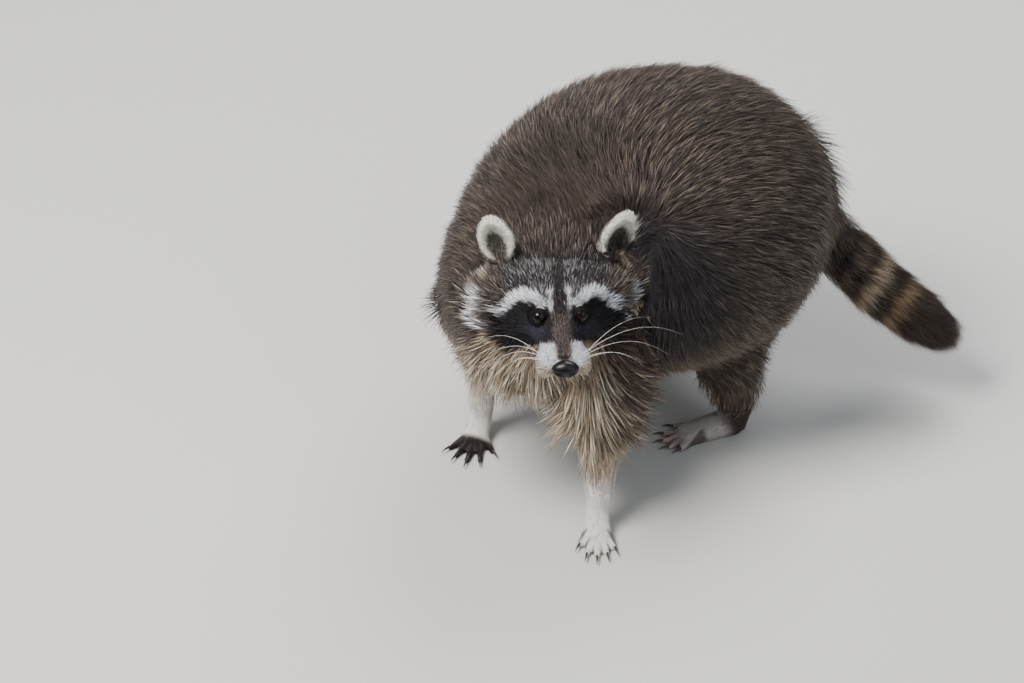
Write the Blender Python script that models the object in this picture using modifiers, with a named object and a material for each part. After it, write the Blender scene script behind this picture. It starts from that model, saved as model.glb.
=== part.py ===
"""Raccoon, life size: a heavy adult in its autumn coat, one forepaw reaching out, its head turned left.

Metres, +Z up. The trunk faces -Y, the animal's left is +X, and its four paws stand on z = 0.
The flesh is lofted along a few centre lines, fused, thinned to a light mesh and parted into
named pieces by thin flat cuts. Every size runs out to the tips of the coat.
"""

import math

import bmesh
import bpy
import numpy as np
from mathutils import Matrix, Vector

# ---------------------------------------------------------------- driving dimensions

GAP = 0.0003              # clear gap between two neighbouring pieces
FOOTPRINT = (-0.0095, 0.1310)     # middle of the whole model's outline on the ground, made the origin
# Each fused mesh: fineness it is fused at, smoothing passes, triangles kept.
TRUNK_MESH = (0.0030, 26, 1600)
HEAD_MESH = (0.0020, 14, 1260)
LIMB_MESH = (0.0011, 4, 450)
EAR_MESH = (0.0010, 3, 130)

# Centre line of the trunk: (x, y, z, half width, half height), from the chest to under the tail.
TRUNK = (
    (0.022, -0.068, 0.186, 0.056, 0.056),
    (-0.006, -0.038, 0.193, 0.090, 0.087),
    (-0.024, 0.000, 0.199, 0.118, 0.110),
    (-0.030, 0.060, 0.206, 0.154, 0.132),
    (-0.024, 0.130, 0.211, 0.172, 0.140),
    (-0.010, 0.196, 0.206, 0.160, 0.135),
    (0.000, 0.240, 0.200, 0.133, 0.121),
    (0.006, 0.272, 0.193, 0.092, 0.090),
)
# The neck runs from inside the chest up and to the left, into the back of the head.
NECK = (
    (-0.034, 0.034, 0.208, 0.112, 0.098),
    (-0.014, 0.000, 0.226, 0.092, 0.082),
    (0.008, -0.018, 0.239, 0.076, 0.066),
    (0.020, -0.028, 0.242, 0.066, 0.056),
)
TAIL = (
    (0.002, 0.240, 0.212, 0.044, 0.044),
    (0.028, 0.272, 0.182, 0.042, 0.040),
    (0.060, 0.298, 0.147, 0.037, 0.036),
    (0.098, 0.320, 0.112, 0.033, 0.033),
    (0.132, 0.338, 0.089, 0.031, 0.031),
    (0.153, 0.348, 0.077, 0.026, 0.026),
)

# The head has its own frame: origin midway between the eyes, nose towards -Y.
HEAD_PLACE = (0.064, -0.060, 0.244)
HEAD_TURN = 55.0          # degrees to the animal's left
HEAD_NOD = 2.0            # degrees, nose down
# Skull from the nose end to the nape: (x, y, z, half width, rise, drop).
SKULL = (
    (0, -0.054, -0.0215, 0.0110, 0.0060, 0.0070),
    (0, -0.044, -0.0235, 0.0165, 0.0105, 0.0110),
    (0, -0.030, -0.0250, 0.0205, 0.0165, 0.0130),
    (0, -0.014, -0.0250, 0.0225, 0.0235, 0.0150),
    (0, 0.000, -0.0220, 0.0315, 0.0285, 0.0200),
    (0, 0.016, -0.0160, 0.0500, 0.0355, 0.0280),
    (0, 0.034, -0.0110, 0.0680, 0.0430, 0.0380),
    (0, 0.052, -0.0090, 0.0710, 0.0480, 0.0430),
    (0, 0.072, -0.0060, 0.0620, 0.0470, 0.0430),
    (0, 0.094, -0.0040, 0.0500, 0.0420, 0.0410),
)
BRIDGE = (
    (0, 0.016, 0.012, 0.0170, 0.0100),
    (0, -0.016, -0.004, 0.0100, 0.0070),
    (0, -0.048, -0.0180, 0.0090, 0.0060),
)
JAW = (
    (0, 0.030, -0.034, 0.036, 0.018),
    (0, -0.008, -0.0345, 0.020, 0.0120),
    (0, -0.036, -0.0345, 0.0125, 0.0080),
)
EAR_LEAN = {1: 25.0, -1: 14.0}    # degrees that the left (1) and the right ear lean outwards
EYE_APART = 0.0380
EYE_SEAT = (-0.0028, 0.0000)      # back from the middle of the head's frame, and up
EYE_OUTWARD = 17.0                # degrees that each eye looks to its side
EYE_RADIUS = 0.0080
NOSE_SEAT = (0, -0.0575, -0.0185)
NOSE = (0.0122, 0.0078, 0.0078)
HEAD_BACK = 0.074         # where the head is cut from the neck
EYE_OPENING = (0.0078, 0.0065, 0.0062)

# Each leg: (x, y, z, half width, half depth) from the hip or shoulder down to just above the paw.
LEGS = {
    "fore_left": (
        (0.034, 0.010, 0.170, 0.050, 0.056),
        (0.060, -0.008, 0.118, 0.036, 0.040),
        (0.078, -0.020, 0.078, 0.023, 0.025),
        (0.092, -0.033, 0.042, 0.0140, 0.0150),
        (0.098, -0.038, 0.026, 0.0120, 0.0125),
    ),
    "fore_right": (
        (-0.080, -0.036, 0.170, 0.048, 0.056),
        (-0.086, -0.034, 0.116, 0.031, 0.035),
        (-0.084, -0.030, 0.076, 0.019, 0.021),
        (-0.083, -0.032, 0.040, 0.0135, 0.0145),
        (-0.081, -0.034, 0.024, 0.0120, 0.0125),
    ),
    "hind_left": (
        (0.052, 0.176, 0.160, 0.060, 0.076),
        (0.070, 0.150, 0.112, 0.044, 0.056),
        (0.078, 0.151, 0.072, 0.029, 0.034),
        (0.077, 0.157, 0.040, 0.0190, 0.0200),
        (0.076, 0.155, 0.021, 0.0160, 0.0165),
    ),
    "hind_right": (
        (-0.078, 0.210, 0.160, 0.066, 0.082),
        (-0.088, 0.212, 0.112, 0.046, 0.060),
        (-0.088, 0.234, 0.072, 0.030, 0.036),
        (-0.084, 0.246, 0.040, 0.0190, 0.0200),
        (-0.084, 0.244, 0.021, 0.0160, 0.0165),
    ),
}
# Where each paw's ankle or wrist stands, how far its toes turn to the animal's left, how wide they spread.
PAW_PLACE = {
    "fore_left": ((0.097, -0.039), 50.0, 0.55),
    "fore_right": ((-0.082, -0.034), 33.0, 1.0),
    "hind_left": ((0.076, 0.156), -24.0, 1.0),
    "hind_right": ((-0.084, 0.244), -6.0, 1.0),
}
# The box in which each leg is parted from the trunk: (centre x, y), (size x, y), turn, height of its top.
LEG_CELL = {
    "fore_left": ((0.086, -0.030), (0.100, 0.110), 50, 0.086),
    "fore_right": ((-0.086, -0.038), (0.080, 0.100), 0, 0.086),
    "hind_left": ((0.074, 0.140), (0.100, 0.150), 0, 0.080),
    "hind_right": ((-0.088, 0.220), (0.100, 0.160), 0, 0.082),
}
# A paw in its own frame: ankle above the origin, toes towards -Y, thumb side at -X.
PALM = {
    "fore": (
        (0, 0.002, 0.024, 0.0120, 0.0120),
        (0, -0.012, 0.0120, 0.0130, 0.0100),
        (0, -0.026, 0.0075, 0.0150, 0.0080),
    ),
    "hind": (
        (0, 0.001, 0.0125, 0.0150, 0.0130),
        (0, -0.014, 0.0125, 0.0148, 0.0125),
        (0, -0.034, 0.0095, 0.0145, 0.0105),
        (0, -0.050, 0.0080, 0.0160, 0.0085),
    ),
}
# Each digit: (side shift, start along the paw, splay in degrees, length).
DIGITS = {
    "fore": (
        (-0.0110, -0.018, -40, 0.021),
        (-0.0070, -0.026, -17, 0.026),
        (-0.0005, -0.028, -2, 0.028),
        (0.0060, -0.026, 13, 0.026),
        (0.0108, -0.021, 31, 0.023),
    ),
    "hind": (
        (-0.0120, -0.043, -24, 0.020),
        (-0.0070, -0.050, -10, 0.024),
        (0.0000, -0.052, 0, 0.026),
        (0.0066, -0.050, 9, 0.025),
        (0.0118, -0.045, 20, 0.021),
    ),
}
SOLE_SINK = 0.0010        # how far a paw is let into the floor before its sole is trimmed flat
ANKLE_CUT = 0.0385        # height of the cut between a paw and its leg
DIGIT_ROOT = 0.0046       # half thickness where a digit leaves the palm
DIGIT_TIP = 0.0037
CLAW_LENGTH = {"fore": 0.0090, "hind": 0.0080}
CLAW_ROOT = 0.0016

COLOURS = {               # base colour, roughness
    "coat_dark": ((0.075, 0.060, 0.052), 0.85),
    "coat_pale": ((0.62, 0.55, 0.44), 0.85),
    "skin_black": ((0.012, 0.012, 0.014), 0.35),
    "eye_brown": ((0.030, 0.014, 0.008), 0.08),
    "claw_horn": ((0.20, 0.15, 0.11), 0.40),
}


# ---------------------------------------------------------------- scene and materials

for old in list(bpy.data.objects):
    bpy.data.objects.remove(old)

raccoon = bpy.data.collections.new("raccoon")
cutters = bpy.data.collections.new("raccoon_cutters")
bpy.context.scene.collection.children.link(raccoon)
bpy.context.scene.collection.children.link(cutters)


def make_material(name):
    colour, roughness = COLOURS[name]
    material = bpy.data.materials.new(name)
    material.use_nodes = True
    shader = material.node_tree.nodes["Principled BSDF"]
    shader.inputs["Base Color"].default_value = (*colour, 1.0)
    shader.inputs["Roughness"].default_value = roughness
    shader.inputs["Metallic"].default_value = 0.0
    return material


MATERIALS = {name: make_material(name) for name in COLOURS}


def new_object(name, form, collection=raccoon):
    """An object that takes over a bmesh; one in the cutters' collection stays out of a render."""
    mesh = bpy.data.meshes.new(name)
    form.to_mesh(mesh)
    form.free()
    made = bpy.data.objects.new(name, mesh)
    collection.objects.link(made)
    if collection is cutters:
        made.hide_render = True
        made.display_type = "WIRE"
    return made


# ---------------------------------------------------------------- basic shapes

def smooth_stations(stations, per_span):
    """Points on a Catmull-Rom curve through the stations, so that a centre line has no corners."""
    rows = np.array(stations, float)
    padded = np.vstack([2 * rows[0] - rows[1], rows, 2 * rows[-1] - rows[-2]])
    found = []
    for span in range(len(rows) - 1):
        before, start, end, after = padded[span:span + 4]
        for step in range(per_span):
            t = step / per_span
            found.append(
                0.5 * (2 * start + (end - before) * t
                       + (2 * before - 5 * start + 4 * end - after) * t ** 2
                       + (3 * start - before - 3 * end + after) * t ** 3)
            )
    return np.array([*found, rows[-1]])


def add_tube(
    form, stations, across=(1, 0, 0), round_ends=0.9, around=24, place=Matrix(), per_span=6, dome=(30, 55, 75)
):
    """Adds a closed tube to a bmesh, through stations of (x, y, z, half width, rise, drop).

    A section is half an ellipse as high as its rise above half an ellipse as deep as its drop,
    which is the rise where a station leaves it out. across is the direction of the half width, as
    near as the centre line lets it be. Each end is closed by a dome, round_ends times as long as wide,
    with a ring at each of the dome's angles.
    """
    whole = [station if len(station) == 6 else (*station, station[4]) for station in stations]
    rows = smooth_stations(whole, per_span)
    centres = rows[:, :3]
    along = np.gradient(centres, axis=0)
    along /= np.linalg.norm(along, axis=1)[:, None]
    sections = [(centre, ahead, size) for centre, ahead, size in zip(centres, along, rows[:, 3:])]
    domes = []
    for (centre, ahead, size), sign in ((sections[0], -1), (sections[-1], 1)):
        reach = round_ends * size.min() * sign
        angles = [math.radians(angle) for angle in dome]
        domes.append([(centre + ahead * reach * math.sin(a), ahead, size * math.cos(a)) for a in angles])
    upright = 1 if np.cross(across, along.sum(axis=0))[2] >= 0 else -1
    rings = []
    for centre, ahead, (wide, rise, drop) in domes[0][::-1] + sections + domes[1]:
        side = np.array(across, float)
        side -= ahead * side.dot(ahead)
        side /= np.linalg.norm(side)
        up = np.cross(side, ahead) * upright
        ring = []
        for step in range(around):
            angle = 2 * math.pi * step / around
            high = rise if math.sin(angle) > 0 else drop
            point = centre + side * wide * math.cos(angle) + up * high * math.sin(angle)
            ring.append(form.verts.new(place @ Vector(point)))
        rings.append(ring)
    faces = []
    for ring, following in zip(rings, rings[1:]):
        for step in range(around):
            after = (step + 1) % around
            faces.append(form.faces.new((ring[step], ring[after], following[after], following[step])))
    faces.append(form.faces.new(rings[0][::-1]))
    faces.append(form.faces.new(rings[-1]))
    bmesh.ops.recalc_face_normals(form, faces=faces)


def add_ball(form, centre, radii, turn=(0, 0, 0), place=Matrix(), fine=24):
    """Adds an ellipsoid to a bmesh; turn is its rotation about X, Y and Z in degrees."""
    spin = Matrix.Rotation(math.radians(turn[2]), 4, "Z")
    spin = spin @ Matrix.Rotation(math.radians(turn[1]), 4, "Y")
    spin = spin @ Matrix.Rotation(math.radians(turn[0]), 4, "X")
    matrix = place @ Matrix.Translation(centre) @ spin @ Matrix.Diagonal((*radii, 1))
    bmesh.ops.create_uvsphere(form, u_segments=fine, v_segments=fine // 2, radius=1, matrix=matrix)


def add_block(form, centre, size, turn=0.0):
    """Adds a box to a bmesh, turned about Z by so many degrees."""
    spin = Matrix.Rotation(math.radians(turn), 4, "Z")
    matrix = Matrix.Translation(centre) @ spin @ Matrix.Diagonal((*size, 1))
    bmesh.ops.create_cube(form, size=1, matrix=matrix)


# ---------------------------------------------------------------- fusing and cutting

def settle(made):
    """Turns an object's live modifiers into its mesh."""
    graph = bpy.context.evaluated_depsgraph_get()
    old = made.data
    made.data = bpy.data.meshes.new_from_object(made.evaluated_get(graph))
    made.modifiers.clear()
    bpy.data.meshes.remove(old)
    made.data.name = made.name


def fuse(made, sizes):
    """Melts overlapping shapes into one closed skin, and thins it to a light mesh."""
    voxel, passes, triangles = sizes
    remesh = made.modifiers.new("fuse", "REMESH")
    remesh.mode = "VOXEL"
    remesh.voxel_size = voxel
    soften = made.modifiers.new("soften", "SMOOTH")
    soften.factor = 0.5
    soften.iterations = passes
    settle(made)
    thin(made, triangles)


def thin(made, triangles):
    made.data.calc_loop_triangles()
    decimate = made.modifiers.new("thin", "DECIMATE")
    decimate.ratio = triangles / len(made.data.loop_triangles)
    settle(made)


def room_for(made, triangles):
    """A lighter, slightly larger copy of a piece: the hollow that its neighbour leaves for it."""
    room = made.copy()
    room.data = made.data.copy()
    room.name = made.name + "_room"
    cutters.objects.link(room)
    room.hide_render = True
    room.display_type = "WIRE"
    thin(room, triangles)
    swell = room.modifiers.new("swell", "DISPLACE")
    swell.strength = 6 * GAP
    swell.mid_level = 0.0
    settle(room)
    return room


def cut(made, cutter, operation="DIFFERENCE"):
    boolean = made.modifiers.new("cut", "BOOLEAN")
    boolean.operation = operation
    boolean.solver = "EXACT"
    boolean.object = cutter
    settle(made)


def part_off(body, name, shape):
    """Splits what lies in a cell from the body as a piece of its own, with the gap between them."""
    piece = body.copy()
    piece.data = body.data.copy()
    piece.name = name
    raccoon.objects.link(piece)
    cut(piece, cell(name + "_cell", *shape), "INTERSECT")
    cut(body, cell(name + "_room", *shape, GAP))
    return piece


def cell(name, kind, centre, size, turn, grow=0.0):
    """A cutter the shape of a box, or of an egg that fills the box."""
    form = bmesh.new()
    if kind == "box":
        add_block(form, centre, [side + 2 * grow for side in size], turn)
    else:
        add_ball(form, centre, [side / 2 + grow for side in size], (0, 0, turn), fine=12)
    return new_object(name, form, cutters)


def finish(made, material):
    made.data.materials.clear()
    made.data.materials.append(MATERIALS[material])
    made.data.shade_smooth()
    made.data.set_sharp_from_angle(angle=math.radians(50))


# ---------------------------------------------------------------- head

HEAD = (
    Matrix.Translation(HEAD_PLACE)
    @ Matrix.Rotation(math.radians(HEAD_TURN), 4, "Z")
    @ Matrix.Rotation(math.radians(HEAD_NOD), 4, "X")
)


def add_head(form):
    """Skull, cheeks and muzzle, as far as the tips of the short hair on them."""
    add_tube(form, SKULL, place=HEAD, around=32, round_ends=0.7)
    add_tube(form, BRIDGE, place=HEAD)
    add_tube(form, JAW, place=HEAD)
    for side in (-1, 1):
        # brow, lip pad, cheek and jowl
        add_ball(form, (side * 0.026, 0.014, 0.0135), (0.021, 0.014, 0.009), (0, side * 16, side * 26), HEAD)
        add_ball(form, (side * 0.0145, -0.034, -0.0265), (0.0115, 0.0200, 0.0110), (0, 0, side * 9), HEAD)
        add_ball(form, (side * 0.051, 0.040, -0.008), (0.032, 0.025, 0.031), (0, side * 12, side * 24), HEAD)
        add_ball(form, (side * 0.034, 0.032, -0.026), (0.032, 0.030, 0.023), (0, side * 26, side * 24), HEAD)


def gaze(side):
    """The eyeball's frame: its centre at the origin, looking along -Y, outward and a little up."""
    outward = Matrix.Rotation(math.radians(side * EYE_OUTWARD), 4, "Z")
    return HEAD @ Matrix.Translation((side * EYE_APART / 2, *EYE_SEAT)) @ outward


def make_eye(name, side):
    form = bmesh.new()
    add_ball(form, (0, 0, 0), (EYE_RADIUS,) * 3, place=gaze(side), fine=12)
    eye = new_object(name, form)
    finish(eye, "eye_brown")
    return eye


def open_eye(head, side):
    """A socket round the eyeball, and the almond opening between the lids in front of it."""
    form = bmesh.new()
    add_ball(form, (0, 0, 0), (EYE_RADIUS + 1.2 * GAP,) * 3, place=gaze(side), fine=12)
    socket = new_object("eye_socket", form, cutters)
    form = bmesh.new()
    add_ball(form, (0, -EYE_RADIUS, 0), EYE_OPENING, (0, side * 10, 0), gaze(side), 12)
    opening = new_object("eye_opening", form, cutters)
    cut(head, opening)
    cut(head, socket)


def add_nose(form, grow=0.0):
    add_ball(form, NOSE_SEAT, [radius + grow for radius in NOSE], (14, 0, 0), HEAD, 12)


def make_nose():
    """The bare nose pad, set on the end of the muzzle."""
    form = bmesh.new()
    add_nose(form)
    nose = new_object("nose", form)
    finish(nose, "skin_black")
    return nose


def ear_matrix(side):
    """The ear's frame: its root at the origin, its tip up and its hollow towards -Y."""
    lean = Matrix.Rotation(math.radians(side * EAR_LEAN[side]), 4, "Y")
    turn = Matrix.Rotation(math.radians(side * 18), 4, "Z")
    back = Matrix.Rotation(math.radians(-4), 4, "X")
    return HEAD @ Matrix.Translation((side * 0.049, 0.050, 0.026)) @ lean @ turn @ back


def add_ear(form, side, grow=0.0):
    half = (0.0185 + grow, 0.0080 + grow, 0.0290 + grow)
    add_ball(form, (0, 0, 0.022), half, (0, 0, 0), ear_matrix(side), 14)


def make_ear(name, side):
    """A cupped ear: a flat egg with a smaller one scooped out of its front."""
    form = bmesh.new()
    add_ear(form, side)
    ear = new_object(name, form)
    form = bmesh.new()
    add_ball(form, (0, -0.0070, 0.022), (0.0135, 0.0100, 0.0235), place=ear_matrix(side))
    cut(ear, new_object(name + "_cup", form, cutters))
    fuse(ear, EAR_MESH)
    finish(ear, "coat_pale")
    return ear


# ---------------------------------------------------------------- paws

def paw_matrix(leg):
    (x, y), turn, _ = PAW_PLACE[leg]
    mirror = Matrix.Diagonal((-1 if leg.endswith("right") else 1, 1, 1, 1))
    return Matrix.Translation((x, y, -SOLE_SINK)) @ Matrix.Rotation(math.radians(turn), 4, "Z") @ mirror


def digit_frame(leg, digit):
    """The digit's own frame: its root at the origin, pointing to -Y, with its length."""
    side, start, splay, length = DIGITS[leg.split("_")[0]][digit]
    spin = Matrix.Rotation(math.radians(splay * PAW_PLACE[leg][2]), 4, "Z")
    return paw_matrix(leg) @ Matrix.Translation((side, start, 0)) @ spin, length


def make_limb(leg):
    """The free part of a leg with its paw, the sole trimmed flat on the ground."""
    kind = leg.split("_")[0]
    form = bmesh.new()
    add_tube(form, LEGS[leg])
    add_tube(form, PALM[kind], place=paw_matrix(leg), around=20)
    for digit in range(len(DIGITS[kind])):
        frame, length = digit_frame(leg, digit)
        add_tube(form, (
            (0, 0.006, 0.0062, DIGIT_ROOT, DIGIT_ROOT),
            (0, -0.45 * length, 0.0054, DIGIT_ROOT * 0.86, DIGIT_ROOT * 0.9),
            (0, -length + DIGIT_TIP, 0.0032, DIGIT_TIP, DIGIT_TIP),
        ), place=frame, around=12)
    limb = new_object(leg + "_leg", form)
    fuse(limb, LIMB_MESH)
    (x, y), _, _, top = LEG_CELL[leg]
    cut(limb, cell(leg + "_reach", "box", (x, y, top / 2 - GAP / 2), (0.4, 0.4, top - GAP), 0), "INTERSECT")
    for digit in range(len(DIGITS[kind])):
        form = bmesh.new()
        add_claw(form, leg, digit, GAP)
        cut(limb, new_object(f"{leg}_claw_seat_{digit + 1}", form, cutters))
    return limb


def add_claw(form, leg, digit, grow=0.0):
    """A claw curves forward and down from the end of its digit, its point clear of the ground."""
    frame, length = digit_frame(leg, digit)
    reach = CLAW_LENGTH[leg.split("_")[0]]
    root = CLAW_ROOT + grow
    add_tube(form, (
        (0, -length + 0.0045 + grow, 0.0046, root, root * 1.15),
        (0, -length - 0.30 * reach, 0.0050, root * 0.85, root),
        (0, -length - 0.75 * reach, 0.0036, root * 0.40, root * 0.45),
    ), place=frame, around=5, round_ends=0.6, per_span=1, dome=(50,))


def make_claw(leg, digit):
    form = bmesh.new()
    add_claw(form, leg, digit)
    claw = new_object(f"{leg}_claw_{digit + 1}", form)
    finish(claw, "claw_horn")


# ---------------------------------------------------------------- head, neck and trunk

def in_head(x, y, z):
    return HEAD @ Vector((x, y, z))


def make_head():
    """The whole head with its bare openings, cut from the neck by a flat plane."""
    form = bmesh.new()
    add_head(form)
    head = new_object("head", form)
    fuse(head, HEAD_MESH)
    front = ("box", in_head(0, HEAD_BACK - 0.15, 0), (0.3, 0.3, 0.3), HEAD_TURN)
    cut(head, cell("head_front", *front), "INTERSECT")
    return head


def make_trunk():
    """Trunk, neck, legs and tail as one skin, which the cells below part."""
    form = bmesh.new()
    add_tube(form, TRUNK, round_ends=0.5)
    add_tube(form, NECK, across=(0.6, 0.8, 0), round_ends=0.6)
    add_tube(form, TAIL, across=(0.4, -0.9, 0))
    for stations in LEGS.values():
        add_tube(form, stations)
    trunk = new_object("trunk", form)
    fuse(trunk, TRUNK_MESH)
    return trunk


# Cells that part the head: (name, shape, centre, size, turn about Z).
HEAD_CELLS = (
    ("jaw", "box", in_head(0, -0.033, -0.0480), (0.060, 0.062, 0.030), HEAD_TURN),
    ("muzzle", "box", in_head(0, -0.040, -0.010), (0.070, 0.056, 0.060), HEAD_TURN),
)
# Cells that part the trunk, in the order they are cut. What is left is the rump.
TRUNK_CELLS = (
    ("tail_tip", "box", (0.176, 0.362, 0.080), (0.096, 0.100, 0.110), 28),
    ("tail_middle", "box", (0.140, 0.343, 0.100), (0.090, 0.100, 0.150), 28),
    ("tail_base", "box", (0.108, 0.325, 0.092), (0.090, 0.100, 0.180), 28),
    ("neck", "egg", in_head(0, 0.076, 0.004), (0.230, 0.130, 0.180), HEAD_TURN),
    ("chest", "box", (0, -0.100, 0.200), (0.500, 0.270, 0.400), 0),
    ("belly", "box", (0, 0.100, 0.200), (0.500, 0.140, 0.400), 0),
)

head = make_head()
trunk = make_trunk()
cut(trunk, room_for(head, 620))

for side, word in ((1, "left"), (-1, "right")):
    ear = make_ear("ear_" + word, side)
    make_eye("eye_" + word, side)
    open_eye(head, side)
    for piece in (head, trunk):
        form = bmesh.new()
        add_ear(form, side, 3 * GAP)
        cut(piece, new_object("ear_seat", form, cutters))
make_nose()
form = bmesh.new()
add_nose(form, GAP)
cut(head, new_object("nose_seat", form, cutters))

for leg, ((x, y), (long, wide), turn, top) in LEG_CELL.items():
    cut(trunk, cell(leg + "_room", "box", (x, y, top / 2), (long, wide, top), turn))
    limb = make_limb(leg)
    paw = part_off(limb, leg + "_paw", ("box", (x, y, 0), (0.4, 0.4, 2 * ANKLE_CUT), 0))
    for piece in (limb, paw):
        finish(piece, "coat_pale")
    for digit in range(len(DIGITS["fore"])):
        make_claw(leg, digit)

for name, *shape in HEAD_CELLS:
    finish(part_off(head, name, shape), "coat_pale")
for name, *shape in TRUNK_CELLS:
    finish(part_off(trunk, name, shape), "coat_dark")
trunk.name = "rump"
for piece in (head, trunk):
    finish(piece, "coat_dark")

for made in raccoon.objects:
    made.data.transform(Matrix.Translation((-FOOTPRINT[0], -FOOTPRINT[1], 0)))
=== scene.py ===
import math

import bmesh
import bpy
import numpy as np
from mathutils import Matrix, Vector
from mathutils.bvhtree import BVHTree


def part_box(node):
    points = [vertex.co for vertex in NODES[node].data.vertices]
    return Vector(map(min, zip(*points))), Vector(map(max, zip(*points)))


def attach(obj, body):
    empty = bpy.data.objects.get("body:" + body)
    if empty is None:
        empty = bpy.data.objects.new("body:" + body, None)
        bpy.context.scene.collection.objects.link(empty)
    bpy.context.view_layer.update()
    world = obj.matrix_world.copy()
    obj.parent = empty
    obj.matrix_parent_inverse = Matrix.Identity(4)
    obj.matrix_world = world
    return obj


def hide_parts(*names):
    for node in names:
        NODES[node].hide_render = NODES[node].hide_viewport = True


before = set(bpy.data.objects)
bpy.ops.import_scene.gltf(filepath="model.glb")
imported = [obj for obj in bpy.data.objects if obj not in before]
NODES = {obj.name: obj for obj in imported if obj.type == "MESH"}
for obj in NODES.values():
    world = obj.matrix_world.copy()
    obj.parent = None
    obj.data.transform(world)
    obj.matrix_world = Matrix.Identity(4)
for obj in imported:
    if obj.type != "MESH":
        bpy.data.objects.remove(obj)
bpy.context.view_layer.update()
print("raccoon of", len(NODES), "nodes")

# %% [markdown]
# A finished model is looked at from in front of its left shoulder and a little above, from far
# enough away that the near paw doesn't look too large. The camera could be tracked on to the
# model by a constraint, but two angles, a distance and a point to look at say it more plainly.
# %% Camera
CAMERA_AZIMUTH = 50
CAMERA_ELEVATION = 38
CAMERA_DISTANCE = 4.0
CAMERA_LENS = 148.5
CAMERA_AIM = Vector((-0.0148, -0.1740, 0.150))


def bearing(azimuth, elevation):
    """The unit vector from the animal to where someone at these angles stands."""
    turn, lift = math.radians(azimuth), math.radians(elevation)
    return Vector((math.sin(turn) * math.cos(lift), -math.cos(turn) * math.cos(lift), math.sin(lift)))


def show(data, name, place=(0, 0, 0), towards=None):
    """A new object in the scene, turned to look at a point if one is given."""
    thing = bpy.data.objects.new(name, data)
    bpy.context.scene.collection.objects.link(thing)
    thing.location = place
    if towards is not None:
        thing.rotation_euler = (Vector(towards) - Vector(place)).to_track_quat("-Z", "Y").to_euler()
    return thing


camera_data = bpy.data.cameras.new("camera")
camera_data.lens = CAMERA_LENS
camera_data.sensor_width = 36
camera_data.clip_end = 60
camera_spot = CAMERA_AIM + bearing(CAMERA_AZIMUTH, CAMERA_ELEVATION) * CAMERA_DISTANCE
bpy.context.scene.camera = show(camera_data, "camera", camera_spot, CAMERA_AIM)
print("camera at", [round(x, 3) for x in camera_spot])

# %% [markdown]
# A model in a workshop stands on a pale floor. A curved backdrop would do as well, but one
# plane so large that its edge is never in view is simpler, and it needs no horizon.
# %% Floor
FLOOR_SIZE = 14.0


def plain_material(name, colour, roughness, **sockets):
    """A Principled material with its constants set on the shader's own sockets."""
    made = bpy.data.materials.new(name)
    made.use_nodes = True
    shader = made.node_tree.nodes["Principled BSDF"]
    shader.inputs["Base Color"].default_value = (*colour, 1)
    shader.inputs["Roughness"].default_value = roughness
    for socket, value in sockets.items():
        shader.inputs[socket.replace("_", " ")].default_value = value
    return made


half = FLOOR_SIZE / 2
corners = [(-half, -half, 0), (half, -half, 0), (half, half, 0), (-half, half, 0)]
floor_mesh = bpy.data.meshes.new("floor")
floor_mesh.from_pydata(corners, [], [(0, 1, 2, 3)])
floor_mesh.materials.append(plain_material("pale floor", (0.60, 0.59, 0.57), 0.85))
show(floor_mesh, "floor")
print("floor", FLOOR_SIZE, "m wide")

# %% [markdown]
# Soft lamps show the form of a dark coat without burning out its white patches. Three wide
# area lamps give the shade of an overcast day: a key from the front and above, a weak fill
# from its left, and one from behind that picks out the outer hairs. A sun lamp would cut hard
# shadows.
# %% Lamps
LAMP_AIM = Vector((0, 0, 0.15))


def lamp(name, azimuth, elevation, distance, size, watts, colour):
    """A square area lamp that looks at the animal."""
    data = bpy.data.lights.new(name, "AREA")
    data.size = size
    data.energy = watts
    data.color = colour
    return show(data, name, LAMP_AIM + bearing(azimuth, elevation) * distance, LAMP_AIM)


lamp("key", -15, 58, 2.6, 1.2, 112, (1.0, 0.97, 0.93))
lamp("fill", 95, 35, 3.0, 2.2, 20, (0.90, 0.95, 1.0))
lamp("behind", 205, 50, 2.8, 1.6, 62, (0.97, 0.98, 1.0))
studio = bpy.data.worlds.new("studio")
studio.use_nodes = True
studio.node_tree.nodes["Background"].inputs["Color"].default_value = (0.86, 0.92, 1.0, 1)
studio.node_tree.nodes["Background"].inputs["Strength"].default_value = 0.34
bpy.context.scene.world = studio

# %% [markdown]
# The face is worked in its own upright frame, with X to the animal's left, Y to the back of
# the head and Z up, because lids, markings and whiskers are all the same on both sides of it.
# An Empty could carry that frame, but a matrix is found at once from three solids, the two
# eyes and the nose: the nose pad lies a known slope below the eyes.
# %% The head's own frame
FACE_SLOPE = math.radians(18.7)
EYE_SET = 0.0028
EYE_RADIUS = 0.0080


def middle(node):
    """The middle of a node's box."""
    low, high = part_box(node)
    return (low + high) / 2


EYES = {name: middle(name) for name in ("eye_left", "eye_right")}
between_eyes = (EYES["eye_left"] + EYES["eye_right"]) / 2
head_x = (EYES["eye_left"] - EYES["eye_right"]).normalized()
to_nose = (middle("nose") - between_eyes).normalized()
face_up = to_nose.cross(head_x)
head_y = -math.cos(FACE_SLOPE) * to_nose - math.sin(FACE_SLOPE) * face_up
head_z = head_x.cross(head_y)
head_origin = between_eyes + EYE_SET * head_y
HEAD = Matrix.Translation(head_origin) @ Matrix((head_x, head_y, head_z)).transposed().to_4x4()
HEAD_INVERSE = np.array(HEAD.inverted())


def in_head(points):
    """Points of the model, as rows, in the head's own frame."""
    return points @ HEAD_INVERSE[:3, :3].T + HEAD_INVERSE[:3, 3]


eye_low, eye_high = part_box("eye_left")
print("head at", [round(x, 4) for x in head_origin], "eye", [round(x, 4) for x in eye_high - eye_low])

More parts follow.
